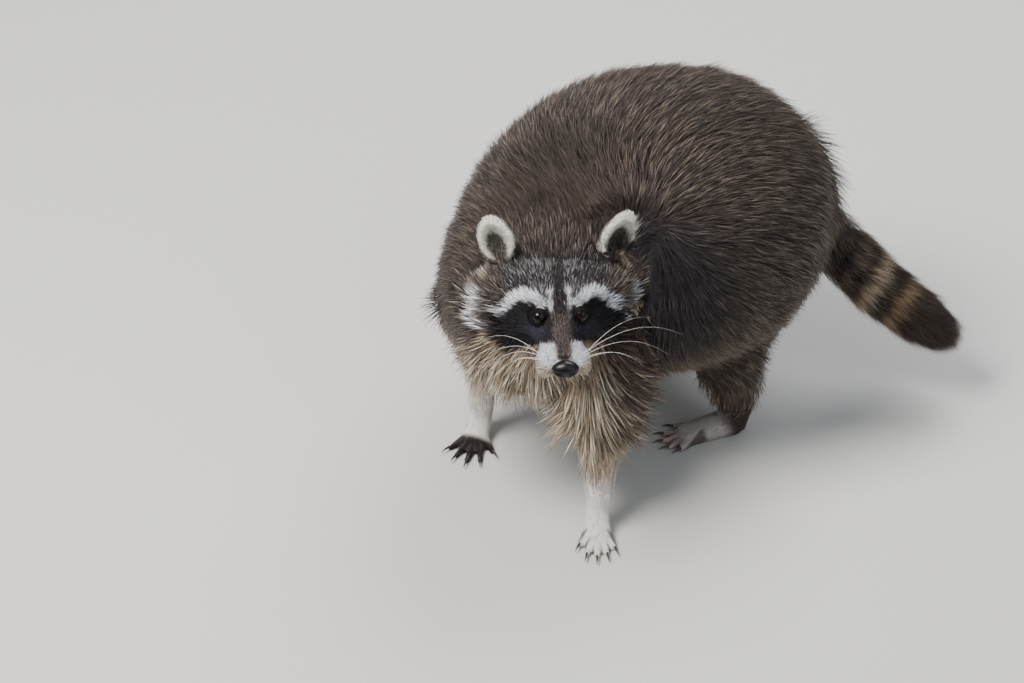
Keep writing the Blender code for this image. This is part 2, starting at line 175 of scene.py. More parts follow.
# %% [markdown]
# The skin of a real animal is one sheet from nose to tail. The solids of the flesh are many,
# with hairline gaps between them. A Boolean union would keep the gaps, so copies of the solids
# are swollen a little until they overlap. Balls fill the eye sockets and the bed of the nose.
# %% Swell the flesh until it overlaps
SWELL = 0.0018
PAW_SWELL = -0.0006
EAR_SWELL = 0.0012
EYE_FILL, NOSE_FILL = 1.10, 0.92
BARE = ("eye_left", "eye_right", "nose")
FLESH = sorted(name for name in NODES if name not in BARE and "claw" not in name)
FEET = ("fore_left", "fore_right", "hind_left", "hind_right")


def add_swollen(target, name):
    """Adds a merged copy of a CAD node to a mesh, every face pushed out a little."""
    copy = bmesh.new()
    copy.from_mesh(NODES[name].data)
    bmesh.ops.remove_doubles(copy, verts=copy.verts, dist=1e-5)
    bmesh.ops.recalc_face_normals(copy, faces=copy.faces)
    copy.normal_update()
    swell = PAW_SWELL if "paw" in name else EAR_SWELL if "ear" in name else SWELL
    for vert in copy.verts:
        vert.co += vert.normal * swell
    lump = bpy.data.meshes.new("lump")
    copy.to_mesh(lump)
    copy.free()
    target.from_mesh(lump)
    bpy.data.meshes.remove(lump)


lumps = bmesh.new()
for name in FLESH:
    add_swollen(lumps, name)
for name in BARE:
    low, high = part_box(name)
    grow = EYE_FILL if "eye" in name else NOSE_FILL
    place = Matrix.Translation(middle(name)) @ Matrix.Diagonal((*((high - low) / 2 * grow), 1))
    bmesh.ops.create_icosphere(lumps, subdivisions=4, radius=1, matrix=place)
skin_mesh = bpy.data.meshes.new("skin")
lumps.to_mesh(skin_mesh)
lumps.free()
skin = show(skin_mesh, "skin")
print(len(FLESH), "solids of flesh, swollen, of", len(skin_mesh.vertices), "points")

# %% [markdown]
# A voxel remesh now makes one closed surface of all the lumps, of even faces that can be
# smoothed and drawn in without care for how the solids were cut. Its voxels are small enough
# to keep the digits apart. The lids are shaped from that surface later.
# %% One closed surface over all the flesh
VOXEL = 0.0015


def applied(thing):
    """A plain mesh of what an object's modifiers make."""
    depsgraph = bpy.context.evaluated_depsgraph_get()
    return bpy.data.meshes.new_from_object(thing.evaluated_get(depsgraph), depsgraph=depsgraph)


def apply_modifiers(thing):
    """Makes what an object's modifiers show its own mesh, and removes them."""
    thing.data = applied(thing)
    thing.modifiers.clear()


def remesh_skin(name):
    """Makes the skin one closed surface of even, fine faces."""
    remesh = skin.modifiers.new(name, "REMESH")
    remesh.mode = "VOXEL"
    remesh.voxel_size = VOXEL
    apply_modifiers(skin)


remesh_skin("join the flesh")
print("skin of", len(skin.data.vertices), "points")

# %% [markdown]
# Depth of coat, lie of the hair and colour are all values of the skin's points. Vertex groups
# could hold them, but so many points are much quicker to work on as arrays. A value set part
# by part would change with a jolt, so it can be spread over the skin, by taking the mean of a
# point's neighbours many times.
# %% A surface as arrays
def read(mesh, kind, key, width):
    """A mesh's own numbers as an array of rows."""
    whole = key in ("vertices", "vertex_index")
    rows = np.zeros(len(getattr(mesh, kind)) * width, np.int32 if whole else np.float32)
    getattr(mesh, kind).foreach_get(key, rows)
    return rows.reshape(-1, width).astype(np.int64 if whole else float)


def move_points(mesh, points):
    """Puts a mesh's points at these places."""
    mesh.vertices.foreach_set("co", points.astype(np.float32).ravel())
    mesh.update()


class Surface:
    """The points of a mesh, their neighbours and normals, as arrays."""

    def __init__(self, mesh):
        self.mesh = mesh
        self.count = len(mesh.vertices)
        self.edges = read(mesh, "edges", "vertices", 2)
        self.degree = np.bincount(self.edges.ravel(), minlength=self.count)[:, None]
        self.points = read(mesh, "vertices", "co", 3)

    def spread(self, values, times, share=1.0):
        """Each point's value drawn towards the mean of its neighbours'."""
        values = np.array(values, float).reshape(self.count, -1)
        a, b = self.edges.T
        for _ in range(times):
            mean = np.stack([
                np.bincount(a, column[b], self.count) + np.bincount(b, column[a], self.count)
                for column in values.T
            ], 1) / self.degree
            values += share * (mean - values)
        return values

    def normals(self):
        """The normals of the points where they now are."""
        move_points(self.mesh, self.points)
        return read(self.mesh, "vertex_normals", "vector", 3)


surface = Surface(skin.data)
print("box of the flesh", surface.points.min(0).round(4), surface.points.max(0).round(4))

# %% [markdown]
# Every point of the skin has to know which part of the animal it is on. It could be asked
# which solid's box it is in, but boxes of neighbours overlap, so one search tree over all the
# solids' faces gives the nearest one instead.
# %% Which part each point is on
def flesh_tree():
    """One search tree over all the flesh, and the place in FLESH of each face's node."""
    spots, faces, owners = [], [], []
    for name in FLESH:
        mesh = NODES[name].data
        start = len(spots)
        spots += [v.co.copy() for v in mesh.vertices]
        faces += [[start + i for i in p.vertices] for p in mesh.polygons]
        owners += [FLESH.index(name)] * len(mesh.polygons)
    return BVHTree.FromPolygons(spots, faces), np.array(owners)


def part_of(points):
    """The index in FLESH of the node nearest to each point."""
    return OWNERS[[TREE.find_nearest(Vector(p))[2] for p in points]]


TREE, OWNERS = flesh_tree()
part = part_of(surface.points)


def on(*words):
    """1 for each point whose part's name holds one of these words, otherwise 0."""
    wanted = [any(word in name for word in words) for name in FLESH]
    return np.array(wanted, float)[part]


for name in ("head", "neck", "chest", "belly", "rump", "tail_base"):
    print(name, "has", int(on(name).sum()), "points")

# %% [markdown]
# Under the coat the animal is much slimmer than it looks. The hair stands about 1 mm proud on
# the digits, 2 mm on the face, 10 mm on the cheeks and 12 mm on the back. One depth for all
# would either bury the toes or leave the trunk too fat, so each point has a depth of its own,
# worked out part by part and then spread. Near the eyes it is only that of a lid.
# %% Depth of the coat
LEG_SHORT, LEG_LONG = 0.0026, 0.0110
LID_DEPTH = 0.0009


def smoothstep(value, low, high):
    """0 below low, 1 above high, and a smooth rise between them."""
    share = np.clip((value - low) / (high - low), 0, 1)
    return share * share * (3 - 2 * share)


def from_eyes(points):
    """How far each point is from the middle of the nearer eye."""
    return np.min([np.linalg.norm(points - np.array(c), axis=1) for c in EYES.values()], axis=0)


def depth_of_coat(points):
    """How far the coat stands out over each point of the skin."""
    x, y, z = in_head(points).T
    face = 0.0018 + 0.0050 * smoothstep(y, 0.0, 0.06) + 0.0012 * smoothstep(y, -0.03, 0.0)
    cheek = 0.0060 * smoothstep(np.abs(x), 0.030, 0.058) * smoothstep(-z, -0.012, 0.018)
    cheek *= smoothstep(y, -0.010, 0.020)
    height = points[:, 2]
    leg = LEG_SHORT + (LEG_LONG - LEG_SHORT) * smoothstep(height, 0.045, 0.115)
    depth = on("head", "muzzle", "jaw") * (face + cheek) + on("neck") * 0.0110
    depth += on("chest", "belly", "rump") * 0.0125 + on("tail_base", "tail_middle") * 0.0115
    depth += on("tail_tip") * 0.0100 + on("leg") * leg + on("paw") * 0.0011 + on("ear_") * 0.0003
    return depth


depth = surface.spread(depth_of_coat(surface.points), 30)
near_eye = 1 - smoothstep(from_eyes(surface.points), 0.010, 0.022)
depth = depth[:, 0] * (1 - near_eye) + LID_DEPTH * near_eye
print("coat from", round(depth.min() * 1000, 1), "to", round(depth.max() * 1000, 1), "mm deep")

# %% [markdown]
# A tanner fits the hide over a form that is smaller than the animal by the coat's depth. A
# Displace modifier would move the points there at one stroke and cross them over in the folds.
# So the closed surface is drawn in along its own normals a little at a time, and smoothed
# between, and the soles are kept just clear of the floor.
# %% Draw the skin in by that depth
SINK_STEPS = 8
SOLE_HEIGHT = 0.0004
FLOOR_CLEAR = 0.0002
soft = on("neck", "chest", "belly", "rump", "tail", "leg")[:, None] + 0.25 * on("head", "jaw")[:, None]
soft = surface.spread(soft, 10)
sole = smoothstep(-surface.normals()[:, 2], 0.6, 0.9) * (surface.points[:, 2] < 0.002)
surface.points = surface.spread(surface.points, 2, 0.35)
swell = SWELL + (PAW_SWELL - SWELL) * on("paw") + (EAR_SWELL - SWELL) * on("ear_")
for _ in range(SINK_STEPS):
    sink = ((depth + swell) / SINK_STEPS * (1 - sole))[:, None]
    surface.points -= surface.normals() * sink
    surface.points += 0.5 * soft * (surface.spread(surface.points, 2) - surface.points)
surface.points[:, 2] = np.where(sole > 0.5, SOLE_HEIGHT, np.maximum(surface.points[:, 2], FLOOR_CLEAR))
surface.normals()
print("skin drawn in to", surface.points.min(0).round(4), surface.points.max(0).round(4))

# %% [markdown]
# Where the surface was drawn in it may have folded, above all in the armpits and groin. A
# second voxel remesh welds the folds, and the trunk, which has no edges on a real animal, is
# smoothed more than the face. The nape is a smooth bridge from the crown to the neck.
# %% Weld and smooth the skin
NAPE_SPREADS = 90
SOLE_BAND = 0.0016
remesh_skin("weld the folds")
surface = Surface(skin.data)
part = part_of(surface.points)
surface.points = surface.spread(surface.points, 2, 0.4)
soft = np.clip(on("neck", "chest", "belly", "rump", "tail", "leg") + 0.5 * on("jaw"), 0, 1)
soft = surface.spread(soft, 12)
surface.points += soft * (surface.spread(surface.points, 24) - surface.points)
x, y, z = in_head(surface.points).T
nape = smoothstep(y, 0.032, 0.044) * (1 - smoothstep(y, 0.085, 0.105))
nape = nape * (1 - smoothstep(np.abs(x), 0.026, 0.042))
nape = surface.spread(nape * smoothstep(z, 0.010, 0.022) * on("head", "neck"), 6)
surface.points += nape * (surface.spread(surface.points, NAPE_SPREADS) - surface.points)
surface.points[:, 2] = np.where(surface.points[:, 2] < SOLE_BAND, SOLE_HEIGHT, surface.points[:, 2])
surface.normals()
print("skin box", surface.points.min(0).round(4), surface.points.max(0).round(4))

# %% [markdown]
# Most of the skin will never be seen, so its mesh is thinned with a Decimate modifier, and a
# vertex group tells it to keep the points of the face, the ears and the feet. Round the eyes
# the faces are then split again, because the edge of a lid is less than a millimetre thick.
# %% Thin the mesh, and refine it round the eyes
SKIN_RATIO = 0.18
KEPT_LEVELS = 10
LID_REACH = 0.0135
LID_STEP = 0.0009

keep_group = skin.vertex_groups.new(name="kept")
fine = on("head", "muzzle", "jaw") * 0.5 + on("paw", "ear_") * 0.6 + on("muzzle") * 0.3
fine = np.clip(fine + (from_eyes(surface.points) < 0.018), 0, 1)
for level in range(1, KEPT_LEVELS + 1):
    chosen = np.nonzero(np.ceil(fine * KEPT_LEVELS) == level)[0]
    if len(chosen):
        keep_group.add(chosen.tolist(), level / KEPT_LEVELS, "REPLACE")
thin = skin.modifiers.new("thin", "DECIMATE")
thin.ratio = SKIN_RATIO
thin.vertex_group = "kept"
thin.invert_vertex_group = True
thin.vertex_group_factor = 0.6
apply_modifiers(skin)
skin.vertex_groups.clear()

refined = bmesh.new()
refined.from_mesh(skin.data)
bmesh.ops.triangulate(refined, faces=refined.faces)
for _ in range(3):
    long_edges = [
        edge for edge in refined.edges
        if edge.calc_length() > LID_STEP
        and min((edge.verts[0].co - centre).length for centre in EYES.values()) < LID_REACH
    ]
    bmesh.ops.subdivide_edges(refined, edges=long_edges, cuts=1)
    bmesh.ops.triangulate(refined, faces=refined.faces)
refined.to_mesh(skin.data)
refined.free()
surface = Surface(skin.data)
part = part_of(surface.points)
print("skin of", len(skin.data.polygons), "faces")

# %% [markdown]
# A raccoon's eye is a ball that sits behind two thin lids. Lids could be pieces of their own,
# but then a seam would show where they meet the face. So the skin in front of the ball is laid
# on it just clear of its surface, and inside an almond-shaped opening it is pushed down into
# the ball, so that the ball itself shows there.
# %% Lids
GAZE_OUTWARD = math.radians(15)
GAZE_UP = 0.42
LID_THICK = 0.0008
OPENING_WIDE, OPENING_HIGH = 0.0062, 0.0047
OPENING_TAPER = 0.35
OPENING_TILT = 0.16
BALL_SHOWN = 0.0012
LID_BLEND = 0.0050


def gaze_axes(name):
    """The centre of an eye, its line of sight, and the directions across and up its opening."""
    side = 1 if name == "eye_left" else -1
    sight = Vector((side * math.sin(GAZE_OUTWARD), -math.cos(GAZE_OUTWARD), GAZE_UP)).normalized()
    across = Vector((0, 0, 1)).cross(sight).normalized() * side
    across = (across + Vector((0, 0, OPENING_TILT))).normalized()
    up = sight.cross(across).normalized() * (1 if sight.cross(across).z > 0 else -1)
    turn = HEAD.to_3x3()
    return [np.array(v) for v in (EYES[name], turn @ sight, turn @ across, turn @ up)]


def lay_lids(points, name):
    """Moves the skin near an eye on to the ball, and into it inside the opening."""
    centre, sight, across, up = gaze_axes(name)
    offset = points - centre
    away = np.linalg.norm(offset, axis=1)
    near = away < LID_REACH
    ray = offset[near] / away[near, None]
    wide, high = ray @ across * EYE_RADIUS, ray @ up * EYE_RADIUS
    share = wide / OPENING_WIDE
    half_high = OPENING_HIGH * (1 - OPENING_TAPER * share**2).clip(OPENING_TAPER)
    rim = np.sqrt(share**2 + (high / half_high) ** 2)
    outside = np.where(ray @ sight > 0.15, (rim - 1) * OPENING_HIGH, LID_BLEND)
    ball = EYE_RADIUS - BALL_SHOWN
    ball = ball + (LID_THICK + BALL_SHOWN) * smoothstep(outside, -0.0002, 0.0006)
    free = np.maximum(away[near], ball)
    reach = ball + (free - ball) * smoothstep(outside, 0.0010, LID_BLEND)
    points[near] = centre + ray * reach[:, None]
    return int(near.sum())


for name in EYES:
    print(name, "lids laid with", lay_lids(surface.points, name), "points")
normals = surface.normals()

# %% [markdown]
# The eyes, claws and whiskers are all rings of points: a glass ball whose pole points along
# the line of sight, and cones and tubes that taper. A few helpers make rings and the faces
# between them, and keep a colour or a number for each point, as its material will need it.
# %% Helpers for small pieces
def ink(red, green, blue):
    """A colour as a paint chart gives it, 0 to 255, turned into light."""
    value = np.array((red, green, blue), float) / 255
    return np.where(value < 0.04045, value / 12.92, ((value + 0.055) / 1.055) ** 2.4)


def store_colour(mesh, name, colours):
    """Keeps a colour for each point of a mesh."""
    layer = mesh.attributes.new(name, "FLOAT_COLOR", "POINT")
    rows = np.concatenate([colours, np.ones((len(colours), 1))], 1)
    layer.data.foreach_set("color", rows.astype(np.float32).ravel())


def store_number(mesh, name, values):
    """Keeps a number for each point of a mesh."""
    mesh.attributes.new(name, "FLOAT", "POINT").data.foreach_set("value", values.astype(np.float32))


def smooth_faces(mesh):
    """Shades all of a mesh smoothly."""
    mesh.polygons.foreach_set("use_smooth", [True] * len(mesh.polygons))
    mesh.update()


def smooth_object(name, points, faces):
    """A smooth-shaded mesh object with its place in its mesh."""
    mesh = bpy.data.meshes.new(name)
    mesh.from_pydata([tuple(p) for p in points], [], faces)
    smooth_faces(mesh)
    return show(mesh, name)


def circle(around, side, up):
    """Points round an ellipse with these two half-axes."""
    turns = np.arange(around) * 2 * math.pi / around
    return np.cos(turns)[:, None] * side + np.sin(turns)[:, None] * up


def ring_faces(rings, around):
    """Quads between rings of points, and a fan at each end to a last and a first point."""
    faces = []
    for ring in range(rings - 1):
        for i in range(around):
            a, b = ring * around + i, ring * around + (i + 1) % around
            faces.append((a, b, b + around, a + around))
    first, last = rings * around, rings * around + 1
    for i in range(around):
        faces.append((first, (i + 1) % around, i))
        top = (rings - 1) * around
        faces.append((last, top + i, top + (i + 1) % around))
    return faces


print("white hair is", ink(236, 234, 230).round(2), "of full light")

# %% [markdown]
# The ball of a raccoon's eye looks black until light falls into it, and then the iris is a
# dark brown ring. A shader could draw the ring, but the ball's own rings of points carry the
# colours just as well, and nothing then has to be lined up with the line of sight.
# %% Eyes
EYE_ACROSS, EYE_ROUND = 40, 48
PUPIL_ANGLE, IRIS_ANGLE = 0.34, 0.95
PUPIL, IRIS_INSIDE, IRIS_OUTSIDE, EYE_CORNER = (6, 5, 5), (25, 16, 11), (12, 9, 7), (14, 10, 9)
BALL_GAP = 0.0002
CORNEA_HIGH, CORNEA_ANGLE = 0.0004, 0.55


def blend(first, second, share):
    """A colour part of the way from a first one to a second."""
    return first + (second - first) * share


def make_eye(name):
    """The ball of an eye, with its clear bulge and its colours."""
    centre, sight, _, up = gaze_axes(name)
    angles = np.linspace(0, math.pi, EYE_ACROSS + 2)
    reach = EYE_RADIUS - BALL_GAP + CORNEA_HIGH * np.exp(-((angles / CORNEA_ANGLE) ** 2))
    spin = circle(EYE_ROUND, np.cross(up, sight), up)
    rows = zip(angles[1:-1], reach[1:-1])
    rings = [centre + r * (math.cos(a) * sight + math.sin(a) * spin) for a, r in rows]
    ends = [[centre + reach[0] * sight], [centre - reach[-1] * sight]]
    faces = ring_faces(EYE_ACROSS, EYE_ROUND)
    eye = smooth_object(name.replace("eye", "eyeball"), np.concatenate(rings + ends), faces)
    angle = np.append(np.repeat(angles[1:-1], EYE_ROUND), (0, math.pi))[:, None]
    iris = blend(ink(*IRIS_INSIDE), ink(*IRIS_OUTSIDE), smoothstep(angle, 0.5, IRIS_ANGLE))
    colour = blend(ink(*PUPIL), iris, smoothstep(angle, PUPIL_ANGLE, PUPIL_ANGLE + 0.08))
    edge = smoothstep(angle, IRIS_ANGLE - 0.1, IRIS_ANGLE + 0.05)
    store_colour(eye.data, "tint", blend(colour, ink(*EYE_CORNER), edge))
    return eye


def attribute_material(name, attribute, roughness, **sockets):
    """A material whose colour is read from an attribute of the mesh."""
    made = plain_material(name, (0.5, 0.5, 0.5), roughness, **sockets)
    nodes, links = made.node_tree.nodes, made.node_tree.links
    reader = nodes.new("ShaderNodeAttribute")
    reader.attribute_name = attribute
    links.new(reader.outputs["Color"], nodes["Principled BSDF"].inputs["Base Color"])
    return made


eye_glass = attribute_material("eye glass", "tint", 0.04, IOR=1.33)
finished = {}
for name in EYES:
    eyeball = make_eye(name)
    eyeball.data.materials.append(eye_glass)
    finished[eyeball.name] = (eyeball, "eyes", [name])
    print(eyeball.name, len(eyeball.data.polygons), "faces")

# %% [markdown]
# The nose pad is wet black leather: a rounded block, wider above than below, with a nostril
# that opens forward and sideways on each side and a narrow groove down the middle. Sculpting
# would shape it too, but a ball of fine faces with a few pits pushed in is the same each time.
# %% Nose pad
HEAD_TURN = np.array(HEAD.to_3x3())
NOSE_HALF = np.array((0.0127, 0.0082, 0.0088))
NOSTRIL_DEEP, NOSTRIL_WIDE = 0.55, 0.24
SLIT_DEEP, SLIT_WIDE = 0.22, 0.30
GROOVE_DEEP, GROOVE_WIDE = 0.10, 0.07


def pit(away, deep, wide):
    """The depth of a round-edged pit at this distance from its middle."""
    return deep * math.exp(-((away / wide) ** 2))


def make_nose():
    """The nose pad, in its solid's place."""
    ball = bmesh.new()
    bmesh.ops.create_icosphere(ball, subdivisions=5, radius=1)
    for vert in ball.verts:
        x, y, z = vert.co
        dent = pit(x, GROOVE_DEEP, GROOVE_WIDE) if y < 0 and z < 0.25 else 0
        for side in (-1, 1):
            hole = Vector((x - side * (0.50 + 0.10 * (z + 0.1)), y + 0.80, (z + 0.12) * 1.5))
            slit = Vector((x - side * 0.84, y + 0.35, (z + 0.10) * 2.4))
            dent += pit(hole.length, NOSTRIL_DEEP, NOSTRIL_WIDE) + pit(slit.length, SLIT_DEEP, SLIT_WIDE)
        taper = 1 - 0.16 * max(0, -z)
        vert.co = Vector((x * taper, y, z * (1 - 0.10 * abs(x)))) * (1 - dent)
    mesh = bpy.data.meshes.new("nose_pad")
    ball.to_mesh(mesh)
    ball.free()
    points = read(mesh, "vertices", "co", 3) * NOSE_HALF
    move_points(mesh, points @ HEAD_TURN.T + np.array(middle("nose")))
    smooth_faces(mesh)
    return show(mesh, "nose_pad")


nose_pad = make_nose()
finished["nose_pad"] = (nose_pad, "nose", ["nose"])
print("nose pad", len(nose_pad.data.polygons), "faces")

# %% [markdown]
# Nose leather and skin both have a fine grain that only shows where light glances off them.
# Real relief would need millions of faces, so a group of shader nodes tilts the normals
# instead, and each material that needs a grain holds the group with values of its own.
# %% Grain, and the leather of the nose
def link_all(tree, *pairs):
    """Links each output to its input."""
    for output, target in pairs:
        tree.links.new(output, target)


def grain_group():
    """The normals of a fine, even grain, for every material that needs one."""
    group = bpy.data.node_groups.new("fine grain", "ShaderNodeTree")
    for name in ("Scale", "Strength", "Distance"):
        group.interface.new_socket(name, in_out="INPUT", socket_type="NodeSocketFloat")
    group.interface.new_socket("Normal", in_out="OUTPUT", socket_type="NodeSocketVector")
    given, made = group.nodes.new("NodeGroupInput"), group.nodes.new("NodeGroupOutput")
    place = group.nodes.new("ShaderNodeTexCoord")
    grain = group.nodes.new("ShaderNodeTexNoise")
    bump = group.nodes.new("ShaderNodeBump")
    link_all(
        group, (place.outputs["Object"], grain.inputs["Vector"]),
        (given.outputs["Scale"], grain.inputs["Scale"]),
        (grain.outputs["Fac"], bump.inputs["Height"]),
        (given.outputs["Strength"], bump.inputs["Strength"]),
        (given.outputs["Distance"], bump.inputs["Distance"]),
        (bump.outputs["Normal"], made.inputs["Normal"]),
    )
    return group


def bumpy(material, scale, strength, distance):
    """Adds a fine grain to a material."""
    nodes, links = material.node_tree.nodes, material.node_tree.links
    grain = nodes.new("ShaderNodeGroup")
    grain.node_tree = FINE_GRAIN
    for name, value in (("Scale", scale), ("Strength", strength), ("Distance", distance)):
        grain.inputs[name].default_value = value
    links.new(grain.outputs["Normal"], nodes["Principled BSDF"].inputs["Normal"])
    return material


FINE_GRAIN = grain_group()
nose_leather = plain_material(
    "wet nose leather", tuple(ink(5, 5, 6)), 0.36, Specular_IOR_Level=0.3, Coat_Weight=0.12
)
nose_pad.data.materials.append(bumpy(nose_leather, 1500, 0.5, 0.0003))
print("grain of", len(FINE_GRAIN.nodes), "nodes")

# %% [markdown]
# Claws are horn: curved cones, dark brown, five to a foot. Their solids are plain cones. A
# Curve modifier could bend them, but a row of rings along the solid's own axis gives a finer
# cone as well, arched a little on its way to the tip and higher than it is wide.
# %% Claws
CLAW_RINGS, CLAW_ROUND = 7, 8
CLAW_ARCH = 0.12 * 0.009
CLAW_RADIUS = 0.0016
CLAW_FULLNESS = 0.62
CLAW_WIDE, CLAW_HIGH = 0.75, 1.05
CLAW_LAST_RING = 0.93


def claw_ends(name):
    """The root and the tip of a claw's solid."""
    points = read(NODES[name].data, "vertices", "co", 3)
    foot = np.array(middle(name.rsplit("_claw", 1)[0] + "_paw"))
    axis = np.linalg.svd(points - points.mean(0))[2][0]
    axis *= np.sign(axis @ (points.mean(0) - foot))
    along = (points - points.mean(0)) @ axis
    return points.mean(0) + axis * along.min(), points.mean(0) + axis * along.max()


def claw_points(name):
    """The rings of one claw, its root end and its tip."""
    root, tip = claw_ends(name)
    axis = (tip - root) / np.linalg.norm(tip - root)
    side = np.cross(axis, (0, 0, 1.0))
    side /= np.linalg.norm(side)
    up = np.cross(side, axis)
    rings = []
    for share in np.linspace(0, CLAW_LAST_RING, CLAW_RINGS):
        centre = root + (tip - root) * share + up * CLAW_ARCH * math.sin(math.pi * share)
        radius = CLAW_RADIUS * (1 - share) ** CLAW_FULLNESS
        rings.append(centre + radius * circle(CLAW_ROUND, CLAW_WIDE * side, CLAW_HIGH * up))
    return np.concatenate(rings + [[root], [tip]])


def many_tubes(name, tubes, rings, around):
    """One object of many closed tubes, each given as its rings, its first end and its last."""
    faces = ring_faces(rings, around)
    starts = [number * len(tubes[0]) for number in range(len(tubes))]
    all_faces = [tuple(start + i for i in face) for start in starts for face in faces]
    return smooth_object(name, np.concatenate(tubes), all_faces)


claw_nodes = sorted(name for name in NODES if "claw" in name)
claw_tubes = [claw_points(name) for name in claw_nodes]
claws = many_tubes("claw_horn", claw_tubes, CLAW_RINGS, CLAW_ROUND)
horn = plain_material("claw horn", tuple(ink(62, 50, 44)), 0.35, Coat_Weight=0.3, Coat_Roughness=0.2)
claws.data.materials.append(horn)
finished["claw_horn"] = (claws, "claws", claw_nodes)
print(len(claw_nodes), "claws of", len(claws.data.polygons), "faces")

# %% [markdown]
# Hair grows along the animal's own lines: the spine, the bend of the tail, the legs. A line is
# a path through the middles of solids, and what each point needs of it is its direction close
# by, or how far along it the point lies. The ears stand up and lean a little outwards.
# %% Paths along the animal
TAIL = ("tail_base", "tail_middle", "tail_tip")
DOWN = np.array((0, 0, -1.0))
EAR_LEAN = 0.35


def unit(rows):
    """Rows made one long."""
    return rows / np.maximum(np.linalg.norm(rows, axis=-1, keepdims=True), 1e-9)


def beside(points, start, end):
    """How far along a line each point lies, from 0 to 1, and its offset from there."""
    start, way = np.array(start, float), np.array(end, float) - np.array(start, float)
    share = np.clip((points - start) @ way / (way @ way), 0, 1)
    return share, points - start - share[:, None] * way


def along_path(points, stops):
    """The direction of a path near each point: its legs, weighted by nearness."""
    total = np.zeros((len(points), 3))
    for start, end in zip(stops[:-1], stops[1:]):
        away = np.linalg.norm(beside(points, start, end)[1], axis=1)
        total += unit(np.array(end - start)) / (away[:, None] ** 4 + 1e-9)
    return unit(total)


def ear_way(side):
    """The way that an ear stands: up, and leaning outwards."""
    return np.array(head_z + EAR_LEAN * side * head_x)


print("left ear stands along", unit(ear_way(1)).round(2))

# %% [markdown]
# Hair lies one way on each part of an animal: back from the nose over the whole head, up the
# ears, backwards and a little down along the trunk, down the legs, out to the tips of tail and
# toes. Combing it by hand in sculpt mode could not be repeated, so the lie is set part by part
# from where the solids are, then spread over the skin like the depth was, so that it turns
# gently from one part to the next, and laid flat on it.
# %% Lie of the hair
def lie_of_trunk(points):
    """Back and down along the spine, down over the chest's front, and up over the nape."""
    x, y, z = in_head(points).T
    spine = [middle(name) for name in ("head", "neck", "chest", "belly", "rump", "tail_base")]
    nape = smoothstep(z, 0.0, 0.03) * (1 - smoothstep(y, 0.085, 0.125))
    nape = nape * (1 - smoothstep(np.abs(x), 0.036, 0.066))
    backwards = unit(np.array(middle("rump") - middle("neck")))
    front = smoothstep(-(points - np.array(middle("chest"))) @ backwards, 0.03, 0.09)
    trunk = along_path(points, spine) + (0.55 - 0.95 * nape)[:, None] * DOWN
    return trunk + 1.1 * front[:, None] * DOWN


def lie_of_hair(points):
    """The way that the hair points over each point of the skin."""
    z = in_head(points)[:, 2]
    head = unit(points - np.array(middle("nose"))) + 0.6 * np.array(head_y)
    head = head + 0.35 * smoothstep(-z, 0.0, 0.03)[:, None] * DOWN
    lie = on("head", "muzzle", "jaw")[:, None] * head
    lie += on("neck", "chest", "belly", "rump")[:, None] * lie_of_trunk(points)
    lie += on("tail")[:, None] * along_path(points, [middle(name) for name in TAIL])
    for side, name in ((1, "ear_left"), (-1, "ear_right")):
        lie += on(name)[:, None] * ear_way(side)
    for foot in FEET:
        shin = np.array(middle(foot + "_paw") - middle(foot + "_leg"))
        toes = np.array(middle(foot + "_claw_3") - middle(foot + "_paw"))
        lie += on(foot + "_leg")[:, None] * (unit(shin) + 0.5 * DOWN)
        lie += on(foot + "_paw")[:, None] * unit(toes)
    return unit(lie)


normals = surface.normals()
lie = surface.spread(lie_of_hair(surface.points), 14)
lie -= (lie * normals).sum(1, keepdims=True) * normals
lie = unit(lie)
print("hair lies down at", round(float((lie @ DOWN > 0.3).mean()), 2), "of the points")

# %% [markdown]
# A raccoon's guard hairs are more than twice as long as the coat is deep, because they lie
# nearly flat. One length for all would make the face shaggy, so each point has its own, from
# the depth there: more on the chin, the back of the cheeks, the throat and the thighs, and
# less down the forelegs. Height is how far the tips stand off the skin.
# %% Length and height of the hair
LENGTH_PER_DEPTH, LENGTH_LEAST = 2.35, 0.0022
EAR_HAIR_MOST = 0.0052
TALL_SHARE, TALL_LEAST = 0.86, 0.0003
LID_HAIR_DEPTH = 0.0008

depth = surface.spread(depth_of_coat(surface.points), 12)[:, 0]
near_eye = 1 - smoothstep(from_eyes(surface.points), 0.0095, 0.018)
depth = depth * (1 - near_eye) + LID_HAIR_DEPTH * near_eye
_, back, high = in_head(surface.points).T
height = surface.points[:, 2]
long = LENGTH_PER_DEPTH * depth + LENGTH_LEAST + 0.0022 * on("ear_")
long += 0.0060 * on("leg") * (1 - smoothstep(depth, 0.003, 0.008))
long += 0.0030 * on("hind_left_leg", "hind_right_leg")
low_front = smoothstep(-high, 0.030, 0.060) * smoothstep(-back, -0.06, -0.01)
long *= 1 + 0.20 * low_front * on("neck", "chest", "jaw", "fore")
long *= 1 - 0.42 * on("fore") * (1 - smoothstep(height, 0.088, 0.135))
chin = smoothstep(-high, 0.024, 0.034) * smoothstep(-back, 0.0, 0.02) * on("head", "muzzle", "jaw")
long += 0.0075 * chin + 0.0030 * on("head") * smoothstep(back, 0.040, 0.060)
long = np.where(on("ear_") > 0.5, np.minimum(long, EAR_HAIR_MOST), long)
tall = TALL_SHARE * depth + TALL_LEAST + 0.0012 * (on("leg", "ear_") + chin) + 0.0020 * on("tail")
print("hair from", round(long.min() * 1000, 1), "to", round(long.max() * 1000, 1), "mm")

